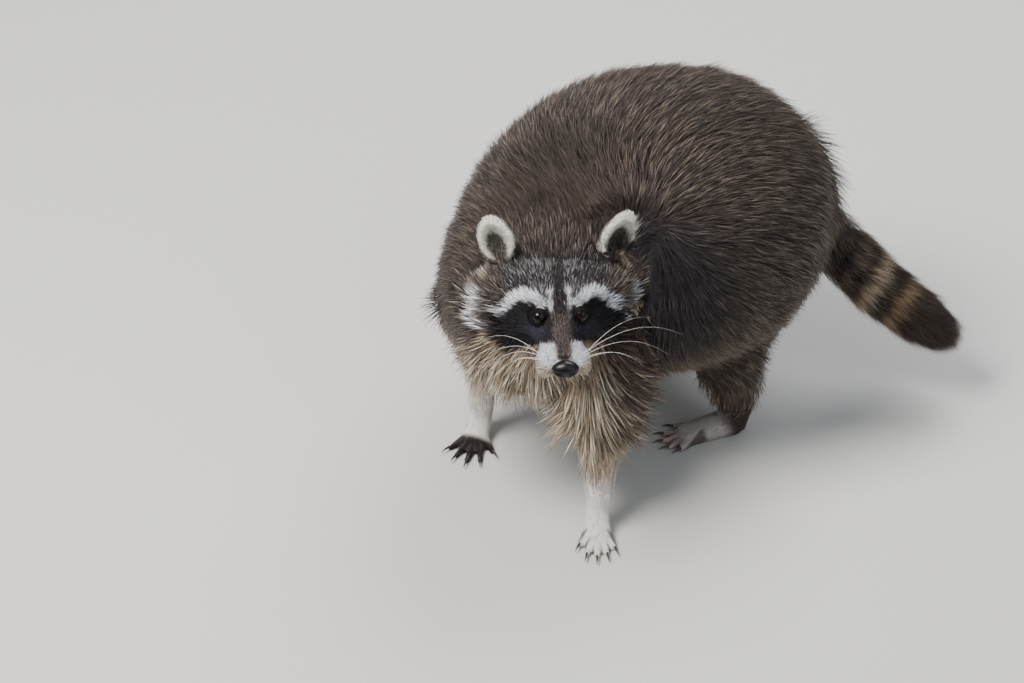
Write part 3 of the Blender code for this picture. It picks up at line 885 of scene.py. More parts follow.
# %% [markdown]
# No hair grows on the lids, the nose pad and the soles, and long hair stands thinner than
# short. A texture could mask the bare places, but they are shapes already known to the mesh,
# so each point simply gets a number for how crowded its hairs are.
# %% Where the hair grows
NOSE_BARE_HALF = (0.0122, 0.0078, 0.0078)
CROWD_LENGTH = 0.0012

lid_bare = 1 - smoothstep(from_eyes(surface.points), 0.0090, 0.0100)
from_nose = (surface.points - np.array(middle("nose"))) @ HEAD_TURN / NOSE_BARE_HALF
nose_bare = 1 - smoothstep(np.linalg.norm(from_nose, axis=1), 1.15, 1.45)
sole_bare = smoothstep(-normals[:, 2], 0.5, 0.8) * (height < 0.012)
crowd = (CROWD_LENGTH / long) ** 1.5 * (1 - lid_bare) * (1 - nose_bare) * (1 - sole_bare)
store_number(skin.data, "crowd", crowd)
store_number(skin.data, "long", long)
store_number(skin.data, "tall", tall)
lie_layer = skin.data.attributes.new("lie", "FLOAT_VECTOR", "POINT")
lie_layer.data.foreach_set("vector", lie.astype(np.float32).ravel())
print("bare points:", int((crowd < 0.001).sum()))

# %% [markdown]
# A raccoon's colours are soft-edged patches of hair of one kind: a black mask under white brow
# bars, a dark stripe between the eyes, white pads beside the nose, cream under the chin, dark
# rings on a pale tail, and over the back dark hairs with silvery tips. A hair's colour could be
# painted by hand on a picture, but named shapes in the animal's own frame, blurred and frayed
# at their edges, serve skin and coat alike. Each kind of hair is the colour of its length, the
# colour of its tips, and the share of hairs that have such tips.
# %% Kinds of hair
KINDS = {
    "back": ((70, 61, 56), (148, 133, 117), 0.36),
    "underside": ((92, 80, 68), (150, 134, 112), 0.40),
    # painted highlight: paler, more often tipped hair on the top of the back
    "painted highlight on back": ((70, 60, 54), (158, 140, 120), 0.42),
    "left shoulder": ((50, 47, 52), (92, 86, 90), 0.25),
    "nape": ((58, 48, 43), (94, 80, 69), 0.30),
    "breast": ((186, 167, 143), (243, 235, 221), 0.55),
    "low breast": ((196, 178, 154), (234, 222, 202), 0.50),
    "elbow": ((74, 61, 54), (158, 138, 120), 0.22),
    "foreleg": ((200, 180, 156), (232, 219, 204), 0.50),
    "wet streak": ((146, 116, 92), (200, 176, 148), 0.40),
    "wet clump": ((122, 103, 86), (190, 172, 150), 0.40),
    "wrist": ((224, 218, 212), (240, 238, 236), 0.40),
    "hind leg": ((84, 72, 62), (140, 124, 106), 0.40),
    "ankle": ((146, 136, 130), (190, 182, 176), 0.30),
    "hind foot": ((188, 180, 176), (212, 206, 202), 0.30),
    "tail": ((58, 48, 44), (96, 82, 70), 0.30),
    "faint ring": ((96, 84, 72), (140, 124, 104), 0.50),
    "upper ring": ((186, 164, 134), (216, 198, 170), 0.50),
    "lower ring": ((162, 134, 102), (194, 168, 134), 0.50),
    "head": ((60, 50, 46), (100, 87, 77), 0.35),
    "forehead": ((52, 48, 49), (132, 130, 132), 0.40),
    "side of face": ((70, 61, 56), (124, 113, 103), 0.38),
    "throat": ((196, 176, 150), (234, 222, 204), 0.50),
    "mid throat": ((214, 200, 180), (238, 230, 218), 0.50),
    "ruff": ((196, 193, 196), (234, 235, 240), 0.50),
    "before ruff": ((78, 70, 66), (132, 124, 117), 0.40),
    "under ear": ((168, 150, 130), (212, 200, 184), 0.45),
    "mask": ((22, 19, 22), (44, 40, 46), 0.25),
    "under mask": ((92, 76, 64), (142, 122, 102), 0.40),
    # painted sheen: a blue-grey reflection painted on the black mask
    "painted_sheen": ((58, 58, 76), (84, 84, 104), 0.40),
    "bridge": ((70, 60, 58), (114, 103, 99), 0.42),
    "stripe": ((34, 29, 29), (70, 62, 60), 0.30),
    "inner brow": ((192, 189, 190), (226, 225, 228), 0.40),
    "brow": ((218, 220, 226), (242, 243, 248), 0.40),
    "nose side": ((216, 218, 226), (238, 240, 246), 0.40),
    # chin: whitish hair painted darker tan as painted shade under the muzzle
    "chin": ((184, 168, 149), (220, 207, 190), 0.45),
    "lid": ((6, 5, 6), (14, 12, 14), 0.20),
    "ear back": ((120, 112, 104), (170, 162, 152), 0.45),
    "ear hollow": ((78, 73, 66), (170, 166, 154), 0.45),
    "ear edge": ((238, 236, 224), (250, 249, 242), 0.40),
    "ear root": ((70, 56, 48), (130, 112, 96), 0.40),
    # painted shadow over the right forefoot's digits, and painted highlights along their ridges
    "painted shadow on digits": ((36, 32, 34), (84, 78, 78), 0.30),
    "painted highlight on digit ridges": ((120, 108, 106), (150, 140, 138), 0.30),
    "heel": ((66, 56, 50), (112, 98, 86), 0.35),
    "pink toe": ((190, 158, 150), (206, 184, 176), 0.30),
    # painted shade between the digits
    "shade_between_digits": ((74, 62, 58), (110, 98, 92), 0.20),
}
print(len(KINDS), "kinds of hair")

# %% [markdown]
# Paint is laid patch over patch, later ones over earlier, as an artist works on a cast. The
# face is charted from in front and a little above, across from the middle and up, both in
# millimetres, because its markings are the same on both sides.
# %% Paint for the coat
FACE_Z, FACE_Y = 0.8, 0.6
FRAY = 2.2


def ripple(points, size, seed):
    """A smooth, repeatable unevenness from -1 to 1 with waves of about this size."""
    slant = np.array(((1.0, 0.31, -0.42), (-0.37, 1.0, 0.29), (0.45, -0.28, 1.0)))
    angle = points @ slant / size * 2 * math.pi
    waves = np.sin(angle + seed) + 0.6 * np.sin(1.9 * angle[:, (1, 2, 0)] + 2.3 * seed)
    return waves.sum(1) / 4.8


class Paint:
    """Colours for every point: of the hair's length, of its tips, and how many hairs have tips."""

    def __init__(self, points):
        self.points = points
        self.hair = np.zeros((len(points), 3))
        self.tips = np.zeros((len(points), 3))
        self.tipped = np.zeros(len(points))
        self.x, self.y, self.z = (in_head(points) * 1000).T
        self.out = np.abs(self.x)
        self.up = FACE_Z * self.z + FACE_Y * self.y
        self.fray = FRAY * (ripple(points, 0.011, 1.7) + 0.8 * ripple(points, 0.0043, 4.1))

    def lay(self, share, kind):
        """Paints a patch with a kind of hair: share is 1 inside it and 0 outside."""
        hair, tips, tipped = KINDS[kind]
        share = np.clip(share, 0, 1)[:, None]
        self.hair += share * (ink(*hair) - self.hair)
        self.tips += share * (ink(*tips) - self.tips)
        self.tipped += share[:, 0] * (tipped - self.tipped)

    def strip(self, path, half_width, soft=3.0):
        """1 along a path of (across, up) points of the face, on both sides of it."""
        spot = np.stack([self.out, self.up], 1)
        nearest = np.full(len(spot), 1e9)
        for start, end in zip(path[:-1], path[1:]):
            nearest = np.minimum(nearest, np.linalg.norm(beside(spot, start, end)[1], axis=1))
        return 1 - smoothstep(nearest + self.fray, half_width - soft / 2, half_width + soft / 2)

    def below(self, path, soft=3.0):
        """1 under a line of (across, up) points of the face."""
        line = np.interp(self.out, *np.array(path, float).T)
        return 1 - smoothstep(self.up + self.fray, line - soft / 2, line + soft / 2)


shown = (0.62 - 0.22 * on("head", "muzzle", "jaw"))[:, None] * long[:, None] * lie
shown += 0.8 * tall[:, None] * normals
paint = Paint(surface.points + shown * (1 - on("ear_"))[:, None])
print("fray of the edges up to", round(float(np.abs(paint.fray).max()), 1), "mm")

# %% [markdown]
# The trunk is grizzled brown, darker on the left shoulder and the nape and paler underneath,
# with a painted highlight of paler tips where the skin faces up. The breast and throat are
# cream, streaked where they are wet. Distances from named points place these patches, and slow
# ripples keep their edges from looking ruled.
# %% Colours of the trunk and legs
drift = 0.010 * ripple(paint.points, 0.060, 0.4)


def patch_round(place, inner, outer):
    """1 near a place of the head's frame and 0 far from it, with a drifting edge."""
    away = np.linalg.norm(paint.points - np.array(HEAD @ Vector(place)), axis=1)
    return 1 - smoothstep(away + drift, inner, outer)


def lower_than(start, end):
    """0 above the first height of the model, and 1 below the second."""
    return smoothstep(-paint.points[:, 2], -start, -end)


def paint_trunk():
    """The back, the shoulder, the nape and the breast. Gives back the breast's patch."""
    paint.lay(np.ones(surface.count), "back")
    paint.lay(smoothstep(-normals[:, 2] + 8 * drift, 0.0, 0.75), "underside")
    # painted highlight: paler tips where the skin faces up
    paint.lay(0.8 * smoothstep(normals[:, 2] + 9 * drift, 0.55, 0.95), "painted highlight on back")
    paint.lay(0.92 * patch_round((0.085, 0.035, -0.02), 0.045, 0.120), "left shoulder")
    paint.lay(0.95 * patch_round((0.010, 0.115, 0.070), 0.035, 0.105), "nape")
    flank = 0.6 * np.clip(paint.out - 42, 0, 99) + 0.9 * np.clip(paint.x - 42, 0, 99)
    breast = smoothstep(-paint.z - flank, 30, 55) * smoothstep(-paint.y, -75, -25)
    breast *= np.clip(on("neck", "chest", "jaw", "head", "fore"), 0, 1)
    paint.lay(0.92 * breast, "breast")
    low_breast = lower_than(0.155, 0.105) * smoothstep(-paint.points[:, 1], 0.06, 0.12)
    paint.lay(0.8 * on("fore", "neck", "chest") * low_breast, "low breast")
    return breast


def paint_legs(breast):
    """The legs from elbow and thigh to wrist and ankle, and the streaks where hair is wet."""
    height = paint.points[:, 2]
    elbow = smoothstep(paint.x + 900 * drift, 34, 58) * smoothstep(height, 0.060, 0.100)
    paint.lay(0.95 * on("fore", "chest", "neck") * elbow * (paint.z < -35), "elbow")
    inside = 1 - 0.6 * smoothstep(paint.x, 42, 62)
    paint.lay(on("fore") * lower_than(0.120, 0.085) * inside, "foreleg")
    streak = smoothstep(ripple(paint.points * np.array((1, 1, 0.25)), 0.012, 2.2), 0.1, 0.6)
    paint.lay(0.6 * streak * on("fore") * smoothstep(height, 0.032, 0.055), "wet streak")
    clump = smoothstep(ripple(paint.points * np.array((1, 1, 0.35)), 0.017, 5.1), 0.0, 0.5)
    paint.lay(0.6 * clump * breast, "wet clump")
    paint.lay(on("fore") * lower_than(0.058, 0.036), "wrist")
    paint.lay(on("hind") * lower_than(0.130, 0.080), "hind leg")
    paint.lay(on("hind") * lower_than(0.034, 0.016), "ankle")
    paint.lay(on("hind") * on("paw"), "hind foot")


breast = paint_trunk()
paint_legs(breast)
print("breast over", int((breast > 0.5).sum()), "points")

# %% [markdown]
# A raccoon's tail is ringed, and only two full rings and a faint one show on a tail as short
# as this. Rings are bands across it, so each point needs to know how far along the bent tail
# it lies, which it takes from the nearest stretch of a path through the tail's solids.
# %% Rings of the tail
RING_SOFT = 0.025
RINGS = (("faint ring", 0.18, 0.028), ("upper ring", 0.38, 0.036), ("lower ring", 0.67, 0.036))


def tail_share(points):
    """How far along the tail each point lies, from 0 at its root to 1 at its tip."""
    stops = [middle(name) for name in TAIL]
    path = [stops[0] * 1.5 - stops[1] * 0.5, *stops, stops[2] * 1.5 - stops[1] * 0.5]
    reached, nearest, best = 0.0, np.full(len(points), 1e9), np.zeros(len(points))
    for start, end in zip(path[:-1], path[1:]):
        share, offset = beside(points, start, end)
        away = np.linalg.norm(offset, axis=1)
        best = np.where(away < nearest, reached + share * (end - start).length, best)
        nearest = np.minimum(nearest, away)
        reached += (end - start).length
    return best / reached


along = tail_share(paint.points) + 0.012 * ripple(paint.points, 0.012, 3.0)
tail = on("tail") * smoothstep(along, 0.02, 0.10)
paint.lay(tail, "tail")
for ring, place, half_wide in RINGS:
    paint.lay(tail * (1 - smoothstep(np.abs(along - place), half_wide, half_wide + RING_SOFT)), ring)
print("tail over", int((tail > 0.5).sum()), "points, with", len(RINGS), "rings")

# %% [markdown]
# The face comes after the trunk and lies over it. First the ground colours go on, dark over
# the head, grizzled on the forehead and cream under the jaw, with the white ruff behind the
# cheeks. The strips are drawn as short paths of points in millimetres, out and up.
# %% Ground colours of the face
round_head = on("neck") * (1 - smoothstep(paint.y, 45, 75)) * smoothstep(paint.up, -12, 5)
round_head *= 1 - smoothstep(paint.out, 68, 78)
head = np.clip(on("head", "muzzle", "jaw", "ear_") + round_head, 0, 1)
face = head * (1 - smoothstep(paint.y, 52, 72))
low = paint.below([(0, -24), (20, -29), (36, -34), (48, -34), (60, -26), (70, -14), (80, -2)], 4.5)
paint.lay(head, "head")
paint.lay(face * (1 - smoothstep(paint.up, 44, 62)), "forehead")
paint.lay(face * smoothstep(paint.out + paint.fray, 44, 54), "side of face")
paint.lay(face * low, "throat")
paint.lay(face * low * (1 - smoothstep(paint.out, 20, 42)), "mid throat")
paint.lay(face * paint.strip([(74.5, 20), (75, 2), (73, -17)], 3.3, 4.5), "ruff")
paint.lay(face * paint.strip([(62, 26), (64, 6), (64, -6)], 3.6, 3), "before ruff")
paint.lay(face * paint.strip([(66, 48), (68, 37)], 3.5, 4), "under ear")
print("face over", int((face > 0.5).sum()), "points")

# %% [markdown]
# The mask gives a raccoon its look, and its upper edge is cut by the white brow bars. It could
# be one outline filled in, but lines to be under, and fades outwards, blend better into the
# hair round it. A painted blue-grey sheen, a painted reflection, lies on it under each eye, and
# a brown bridge divides it.
# %% Mask, bridge and stripe
mask = face * paint.below([(8, -2), (14, 5), (22, 10.5), (32, 15), (44, 10), (56, -1), (66, -8)], 2.4)
mask *= (1 - low) * smoothstep(paint.out, 7.0, 10.5)
mask *= 1 - smoothstep(paint.out + paint.fray, 60, 69)
paint.lay(mask, "mask")
under_mask = face * paint.strip([(34, -35), (48, -36), (60, -28), (69, -17)], 2.6, 4.5)
paint.lay(0.8 * under_mask, "under mask")
# painted sheen: a blue-grey reflection painted on the mask under each eye
painted_sheen = np.exp(-(((paint.out - 24) / 10) ** 2) - ((paint.up + 14) / 8) ** 2)
paint.lay(0.75 * mask * painted_sheen, "painted_sheen")
half_bridge = np.interp(paint.up, (-40, -11, 0), (7.0, 10.0, 8.5))
bridge = 1 - smoothstep(paint.out + 0.5 * paint.fray, half_bridge - 2.5, half_bridge + 2.5)
bridge *= 1 - smoothstep(paint.up, 0, 6)
paint.lay(face * bridge * (1 - on("jaw")), "bridge")
stripe = 1 - smoothstep(paint.out + 0.6 * paint.fray, 4.0, 6.5)
stripe *= smoothstep(paint.up, -6, 2) * (1 - smoothstep(paint.up, 32, 52))
paint.lay(face * stripe, "stripe")
print("mask over", int((mask > 0.5).sum()), "points")

# %% [markdown]
# The white marks go on last, so that they lie crisply over the dark ones: a short bar beside
# the stripe, the long brow bar and the pad beside the nose. The chin under the pads is painted a
# cream-tan darker than its whitish hair, as painted shade. The lids' rims are black and bare.
# White is never quite white, or it would lose its shade under the lamps.
# %% Brows, nose sides, chin and lids
paint.lay(face * paint.strip([(9.0, 5), (9.6, 13), (9.0, 20)], 2.4, 2.4), "inner brow")
brow = paint.strip([(17, 10.5), (25, 16.5), (33, 19.5), (41, 16.5), (50, 9.0), (57, 3.0)], 5.0, 2.6)
paint.lay(face * brow, "brow")
nose_side = on("muzzle", "head", "jaw") * smoothstep(-paint.y, 15, 22)
nose_side *= paint.below([(0, -24), (10, -25), (22, -26), (40, -27)], 2.0)
paint.lay(face * nose_side * (1 - bridge) * smoothstep(paint.out, 5.0, 8.0), "nose side")
# painted shade: the chin below this line is painted darker tan than its whitish hair
chin_shade_line = paint.below([(0, -60), (8, -53), (20, -43), (28, -35), (34, -28)], 6)
paint.lay(face * on("muzzle", "jaw") * chin_shade_line, "chin")
paint.lay(1 - smoothstep(from_eyes(paint.points), 0.0096, 0.0120), "lid")
print("brows over", int((face * brow > 0.5).sum()), "points")

# %% [markdown]
# An ear is a white-edged cup: its hollow is dark, thinly haired skin, open downwards, its rim
# and tip are white, its back is grey, and brown hair grows over its root. Across and height
# are measured on the ear itself, so that both ears come out alike however the head is turned.
# %% Ears
EAR_HALF_WIDE, EAR_HALF_HIGH = 0.0165, 0.0265


def paint_ear(name, side):
    """One ear. Gives back how many points its hollow has."""
    tall_way = unit(ear_way(side))
    wide_way = unit(np.array(head_x) - np.array(head_x) @ tall_way * tall_way)
    offset = paint.points - np.array(middle(name))
    across, height = (offset @ wide_way) * side / EAR_HALF_WIDE, offset @ tall_way / EAR_HALF_HIGH
    forward = smoothstep(normals @ np.array(-head_y), 0.0, 0.35)
    from_hollow = np.hypot(1.1 * across - 0.12, 0.9 * height + 0.24)
    edge = smoothstep(from_hollow + 0.04 * paint.fray, 0.44, 0.74)
    hollow = on(name) * forward * (1 - edge)
    paint.lay(on(name), "ear back")
    paint.lay(hollow, "ear hollow")
    paint.lay(on(name) * np.maximum(forward * edge, smoothstep(height, 0.45, 0.8)), "ear edge")
    paint.lay(on(name) * (1 - smoothstep(height, -0.95, -0.60)), "ear root")
    return int((hollow > 0.5).sum())


print("ear hollows of", paint_ear("ear_left", 1), "and", paint_ear("ear_right", -1), "points")

# %% [markdown]
# The feet are nearly bare: pale with painted shade between the digits, a dark heel behind and
# pink toes at the back. On the right forefoot the digits are painted dark as shadow, with painted
# highlights along their ridges. The painted shade between the digits lies on the places furthest
# from the lines that run from the heel to the claws, seen from above.
# %% Feet
DIGITS = 5


def paint_foot(foot):
    """One foot. Gives back how many points it has."""
    own = on(foot + "_paw")
    heel = np.array(middle(foot + "_paw"))
    heading = unit(np.array(middle(foot + "_claw_3")) - heel)
    ahead = (surface.points - heel) @ heading * 1000
    nearest = np.full(surface.count, 1e9)
    for digit in range(1, DIGITS + 1):
        tip = np.array(middle(f"{foot}_claw_{digit}"))
        offset = beside(surface.points, heel + 0.15 * (tip - heel), tip)[1]
        nearest = np.minimum(nearest, np.linalg.norm(offset[:, :2], axis=1) * 1000)
    if foot == "fore_right":
        # painted shadow over the right forefoot's digits, with painted highlights along their ridges
        digit_shadow = own * smoothstep(ahead, 2, 9)
        paint.lay(digit_shadow, "painted shadow on digits")
        paint.lay(digit_shadow * (1 - smoothstep(nearest, 0.6, 1.5)), "painted highlight on digit ridges")
    elif foot.startswith("hind"):
        paint.lay(own * (1 - smoothstep(ahead, -24, -8)), "heel")
        paint.lay(0.6 * own * smoothstep(ahead, 28, 36), "pink toe")
    # painted shade where the digits part
    shade_between_digits = smoothstep(nearest, 2.4, 4.0) * smoothstep(ahead, 4, 10)
    paint.lay(0.8 * own * shade_between_digits, "shade_between_digits")
    return int(own.sum())


print("feet of", [paint_foot(foot) for foot in FEET], "points")
store_colour(skin.data, "hair", paint.hair)
store_colour(skin.data, "tips", paint.tips)
store_number(skin.data, "tipped", paint.tipped)

# %% [markdown]
# A coat is far too many hairs to model singly, and Blender's own hair isn't a solid. But
# groomed or wetted hair falls into thin locks, and a lock can be one tapered spike of three
# sides. Four are made of each kind, bent a little to one side or the other, and each arches
# so that its tip comes back down towards the skin. A number runs along each from 0 to 1.
# %% Shapes of lock
PATCH = 0.003
LOCK_KINDS = {
    "short": (0.085, (0.0, 0.50), 0.06),
    "middle": (0.050, (0.0, 0.34, 0.72), 0.09),
    "long": (0.021, (0.0, 0.42), 0.09),
    "wet": (0.025, (0.0, 0.3, 0.66), 0.12),
}
LOCK_CORNERS = ((-0.5, -0.16), (0.5, -0.16), (0.0, 0.26))
ROOT_WIDTH, BELLY_WIDTH = 0.62, 1.1
SIDE_BENDS = (-0.07, -0.02, 0.03, 0.08)


def make_lock(name, share, stations, arch, bend):
    """One lock, a unit long, that grows up Z and arches over towards Y."""
    points, along = [], []
    for station in stations:
        width = share * (ROOT_WIDTH + BELLY_WIDTH * station * (1 - station))
        centre = Vector((bend * station**2, 4 * arch * station * (1 - station), station))
        points += [centre + Vector((across, thick, 0)) * width for across, thick in LOCK_CORNERS]
        along += [station] * len(LOCK_CORNERS)
    points.append(Vector((bend, 0, 1)))
    along.append(1.0)
    tip = len(points) - 1
    faces = [(2, 1, 0)]
    for ring in range(len(stations) - 1):
        for i in range(3):
            a, b = ring * 3 + i, ring * 3 + (i + 1) % 3
            faces += [(a, b, b + 3), (a, b + 3, a + 3)]
    last = 3 * (len(stations) - 1)
    faces += [(last + i, last + (i + 1) % 3, tip) for i in range(3)]
    lock = smooth_object(name, points, faces)
    store_number(lock.data, "along", np.array(along))
    patch = lock.data.uv_layers.new(name="patch")
    corners = [((points[v].x / share + 0.5) * 0.8 + 0.1, along[v]) for face in faces for v in face]
    patch.data.foreach_set("uv", np.clip(np.array(corners), 0, 1).ravel())
    return lock


lock_sets = {}
for kind, (share, stations, arch) in LOCK_KINDS.items():
    lock_sets[kind] = bpy.data.collections.new(kind + " locks")
    for number, bend in enumerate(SIDE_BENDS):
        lock = make_lock(f"{kind}_lock_{number}", share, stations, arch, bend)
        bpy.context.scene.collection.objects.unlink(lock)
        lock_sets[kind].objects.link(lock)
    print(kind, "locks of", len(lock.data.polygons), "faces")

# %% [markdown]
# A node tree is easier to read when each of its steps is one line of script. These helpers
# each add one node, link what goes into it and give back its output, as a sum is written.
# %% Helpers for node trees
def feed(tree, value, socket):
    """Gives a socket its value: the output of another node, or a constant."""
    if isinstance(value, bpy.types.NodeSocket):
        tree.links.new(value, socket)
    else:
        socket.default_value = value


def number_node(tree, operation, first, second):
    """A Math node of two values, each an output or a plain number."""
    node = tree.nodes.new("ShaderNodeMath")
    node.operation = operation
    feed(tree, first, node.inputs[0])
    feed(tree, second, node.inputs[1])
    return node.outputs[0]


def vector_node(tree, operation, first, second=None, scale=None):
    """A Vector Math node, each value an output or a constant."""
    node = tree.nodes.new("ShaderNodeVectorMath")
    node.operation = operation
    for place, value in ((0, first), (1, second), ("Scale", scale)):
        if value is not None:
            feed(tree, value, node.inputs[place])
    return node.outputs[0]


def named(tree, name, kind="FLOAT"):
    """The value of a named attribute."""
    node = tree.nodes.new("GeometryNodeInputNamedAttribute")
    node.data_type = kind
    node.inputs["Name"].default_value = name
    return node.outputs["Attribute"]


def random_value(tree, kind, low, high, seed):
    """A random value for each point."""
    node = tree.nodes.new("FunctionNodeRandomValue")
    node.data_type = kind
    lows = [s for s in node.inputs if s.name == "Min" and s.enabled][0]
    highs = [s for s in node.inputs if s.name == "Max" and s.enabled][0]
    lows.default_value, highs.default_value = low, high
    node.inputs["Seed"].default_value = seed
    return [s for s in node.outputs if s.enabled][0]


def keep(tree, geometry, name, value, kind="FLOAT", domain="POINT"):
    """Stores a value on a geometry under a name."""
    node = tree.nodes.new("GeometryNodeStoreNamedAttribute")
    node.data_type, node.domain = kind, domain
    node.inputs["Name"].default_value = name
    link_all(tree, (geometry, node.inputs["Geometry"]), (value, node.inputs["Value"]))
    return node.outputs["Geometry"]


print("helpers ready for", len(lock_sets), "kinds of lock")

# %% [markdown]
# No two locks of a real coat lie quite alike: whole patches swirl a little one way, and single
# locks stray from their neighbours. A lock is turned so that its length follows the lie and
# rises just enough for its tip to reach the outer line of the coat, and its direction, width
# and length vary, a smooth noise for the swirls and a random value for each stray.
# %% Way and size of each lock
SWIRL_SCALE, SWIRL_SHARE = 55, 0.75
STRAY = 0.13
LENGTHS, RISES, BREADTHS = (0.72, 1.08), (0.55, 1.05), (0.7, 1.35)


def way_of_locks(tree, normal):
    """The rotation of each lock: along the lie, swirled a little, and rising off the skin."""
    swirl = tree.nodes.new("ShaderNodeTexNoise")
    swirl.inputs["Scale"].default_value = SWIRL_SCALE
    even = vector_node(tree, "SUBTRACT", swirl.outputs["Color"], (0.5, 0.5, 0.5))
    stray = random_value(tree, "FLOAT_VECTOR", (-STRAY,) * 3, (STRAY,) * 3, 3)
    loose = vector_node(tree, "ADD", vector_node(tree, "SCALE", even, scale=SWIRL_SHARE), stray)
    rise = number_node(tree, "DIVIDE", named(tree, "tall"), named(tree, "long"))
    rise = number_node(tree, "MULTIPLY", rise, random_value(tree, "FLOAT", *RISES, 7))
    growth = vector_node(tree, "ADD", named(tree, "lie", "FLOAT_VECTOR"), loose)
    growth = vector_node(tree, "NORMALIZE", growth)
    growth = vector_node(tree, "ADD", growth, vector_node(tree, "SCALE", normal, scale=rise))
    turn = tree.nodes.new("FunctionNodeAxesToRotation")
    turn.primary_axis, turn.secondary_axis = "Z", "Y"
    link_all(tree, (growth, turn.inputs["Primary Axis"]), (normal, turn.inputs["Secondary Axis"]))
    return turn.outputs[0]


def size_of_locks(tree, stretch):
    """The scale of each lock: across it, through it and along it."""
    length = number_node(tree, "MULTIPLY", named(tree, "long"), random_value(tree, "FLOAT", *LENGTHS, 5))
    length = number_node(tree, "MULTIPLY", length, stretch)
    breadth = number_node(tree, "MULTIPLY", length, random_value(tree, "FLOAT", *BREADTHS, 9))
    size = tree.nodes.new("ShaderNodeCombineXYZ")
    link_all(tree, (breadth, size.inputs[0]), (length, size.inputs[1]), (length, size.inputs[2]))
    return size.outputs[0]


print("locks from", LENGTHS[0], "to", LENGTHS[1], "of the hair's length")

# %% [markdown]
# Planting the locks is work for Geometry Nodes: points are scattered over the skin, more where
# the hair is short, and a lock is set on each. Blender's hair curves would thin out to nothing
# in other programs, but locks are solids, and each keeps its place on the skin's unwrap for
# the bake. The tree's inputs say how many locks, of what kind and how long.
# %% Tree that plants the locks
def planting_tree():
    """The tree, with its named inputs."""
    tree = bpy.data.node_groups.new("Plant locks", "GeometryNodeTree")
    tree.interface.new_socket("Skin", in_out="INPUT", socket_type="NodeSocketGeometry")
    for name, kind, value in (
        ("Locks per area", "Float", 1e5), ("Seed", "Int", 1), ("Length", "Float", 1.0),
        ("Locks", "Collection", None), ("Coat", "Material", None),
    ):
        socket = tree.interface.new_socket(name, in_out="INPUT", socket_type="NodeSocket" + kind)
        if value is not None:
            socket.default_value = value
    tree.interface.new_socket("Coat", in_out="OUTPUT", socket_type="NodeSocketGeometry")
    given = tree.nodes.new("NodeGroupInput").outputs
    scatter = tree.nodes.new("GeometryNodeDistributePointsOnFaces")
    density = number_node(tree, "MULTIPLY", named(tree, "crowd"), given["Locks per area"])
    link_all(
        tree, (given["Skin"], scatter.inputs["Mesh"]), (density, scatter.inputs["Density"]),
        (given["Seed"], scatter.inputs["Seed"]),
    )
    turn = way_of_locks(tree, scatter.outputs["Normal"])
    size = size_of_locks(tree, given["Length"])
    points = keep(tree, scatter.outputs["Points"], "chance", random_value(tree, "FLOAT", 0.0, 1.0, 11))
    shapes = tree.nodes.new("GeometryNodeCollectionInfo")
    shapes.inputs["Separate Children"].default_value = True
    shapes.inputs["Reset Children"].default_value = True
    plant = tree.nodes.new("GeometryNodeInstanceOnPoints")
    plant.inputs["Pick Instance"].default_value = True
    link_all(
        tree, (given["Locks"], shapes.inputs["Collection"]), (points, plant.inputs["Points"]),
        (shapes.outputs[0], plant.inputs["Instance"]),
        (random_value(tree, "INT", 0, len(SIDE_BENDS) - 1, 13), plant.inputs["Instance Index"]),
        (turn, plant.inputs["Rotation"]), (size, plant.inputs["Scale"]),
    )
    real = tree.nodes.new("GeometryNodeRealizeInstances")
    paint_on = tree.nodes.new("GeometryNodeSetMaterial")
    patch = vector_node(tree, "SCALE", named(tree, "patch", "FLOAT_VECTOR"), scale=PATCH)
    place = vector_node(tree, "ADD", named(tree, "root_uv", "FLOAT_VECTOR"), patch)
    link_all(tree, (plant.outputs[0], real.inputs[0]))
    unwrapped = keep(tree, real.outputs[0], "OFBake", place, "FLOAT2", "CORNER")
    link_all(tree, (unwrapped, paint_on.inputs["Geometry"]), (given["Coat"], paint_on.inputs["Material"]))
    link_all(tree, (paint_on.outputs[0], tree.nodes.new("NodeGroupOutput").inputs[0]))
    return tree


planting = planting_tree()
print("planting tree of", len(planting.nodes), "nodes")

# %% [markdown]
# The coat's colour is worked out by a few shader nodes, so three more helpers are of use: a
# smooth change from one range to another, a mix of two colours and a value kept on the mesh.
# %% Helpers for shaders
def map_range(tree, value, low, high, start, end):
    """A value taken smoothly from one range to another."""
    node = tree.nodes.new("ShaderNodeMapRange")
    node.interpolation_type = "SMOOTHSTEP"
    for socket, number in zip(list(node.inputs)[1:5], (low, high, start, end)):
        socket.default_value = number
    tree.links.new(value, node.inputs[0])
    return node.outputs[0]


def mix_node(tree, mode, share, first, second):
    """A Mix node of two colours."""
    node = tree.nodes.new("ShaderNodeMix")
    node.data_type, node.blend_type = "RGBA", mode
    feed(tree, share, node.inputs["Factor"])
    link_all(tree, (first, node.inputs[6]), (second, node.inputs[7]))
    return node.outputs[2]


def shader_attribute(tree, name):
    """An Attribute node of a shader."""
    node = tree.nodes.new("ShaderNodeAttribute")
    node.attribute_name = name
    return node.outputs


print("a skin of", len(skin.data.attributes), "attributes to read")

# %% [markdown]
# A guard hair is dark at its root, where others shade it, then takes its own colour, and some
# have a pale tip. A picture could hold that, but the material works it out from what each lock
# carries: its two colours, its chance number and how far along it a point is. No two locks are
# quite equally dark. Hair is half-matt with a soft sheen.
# %% Colour along a lock
TIP_STARTS, TIP_FULL = 0.40, 0.72
ROOT_SHADE, ROOT_REACH = 0.42, 0.55
DARKEST_LOCK, LIGHTEST_LOCK = 0.72, 1.22
RESHUFFLE = 17.3


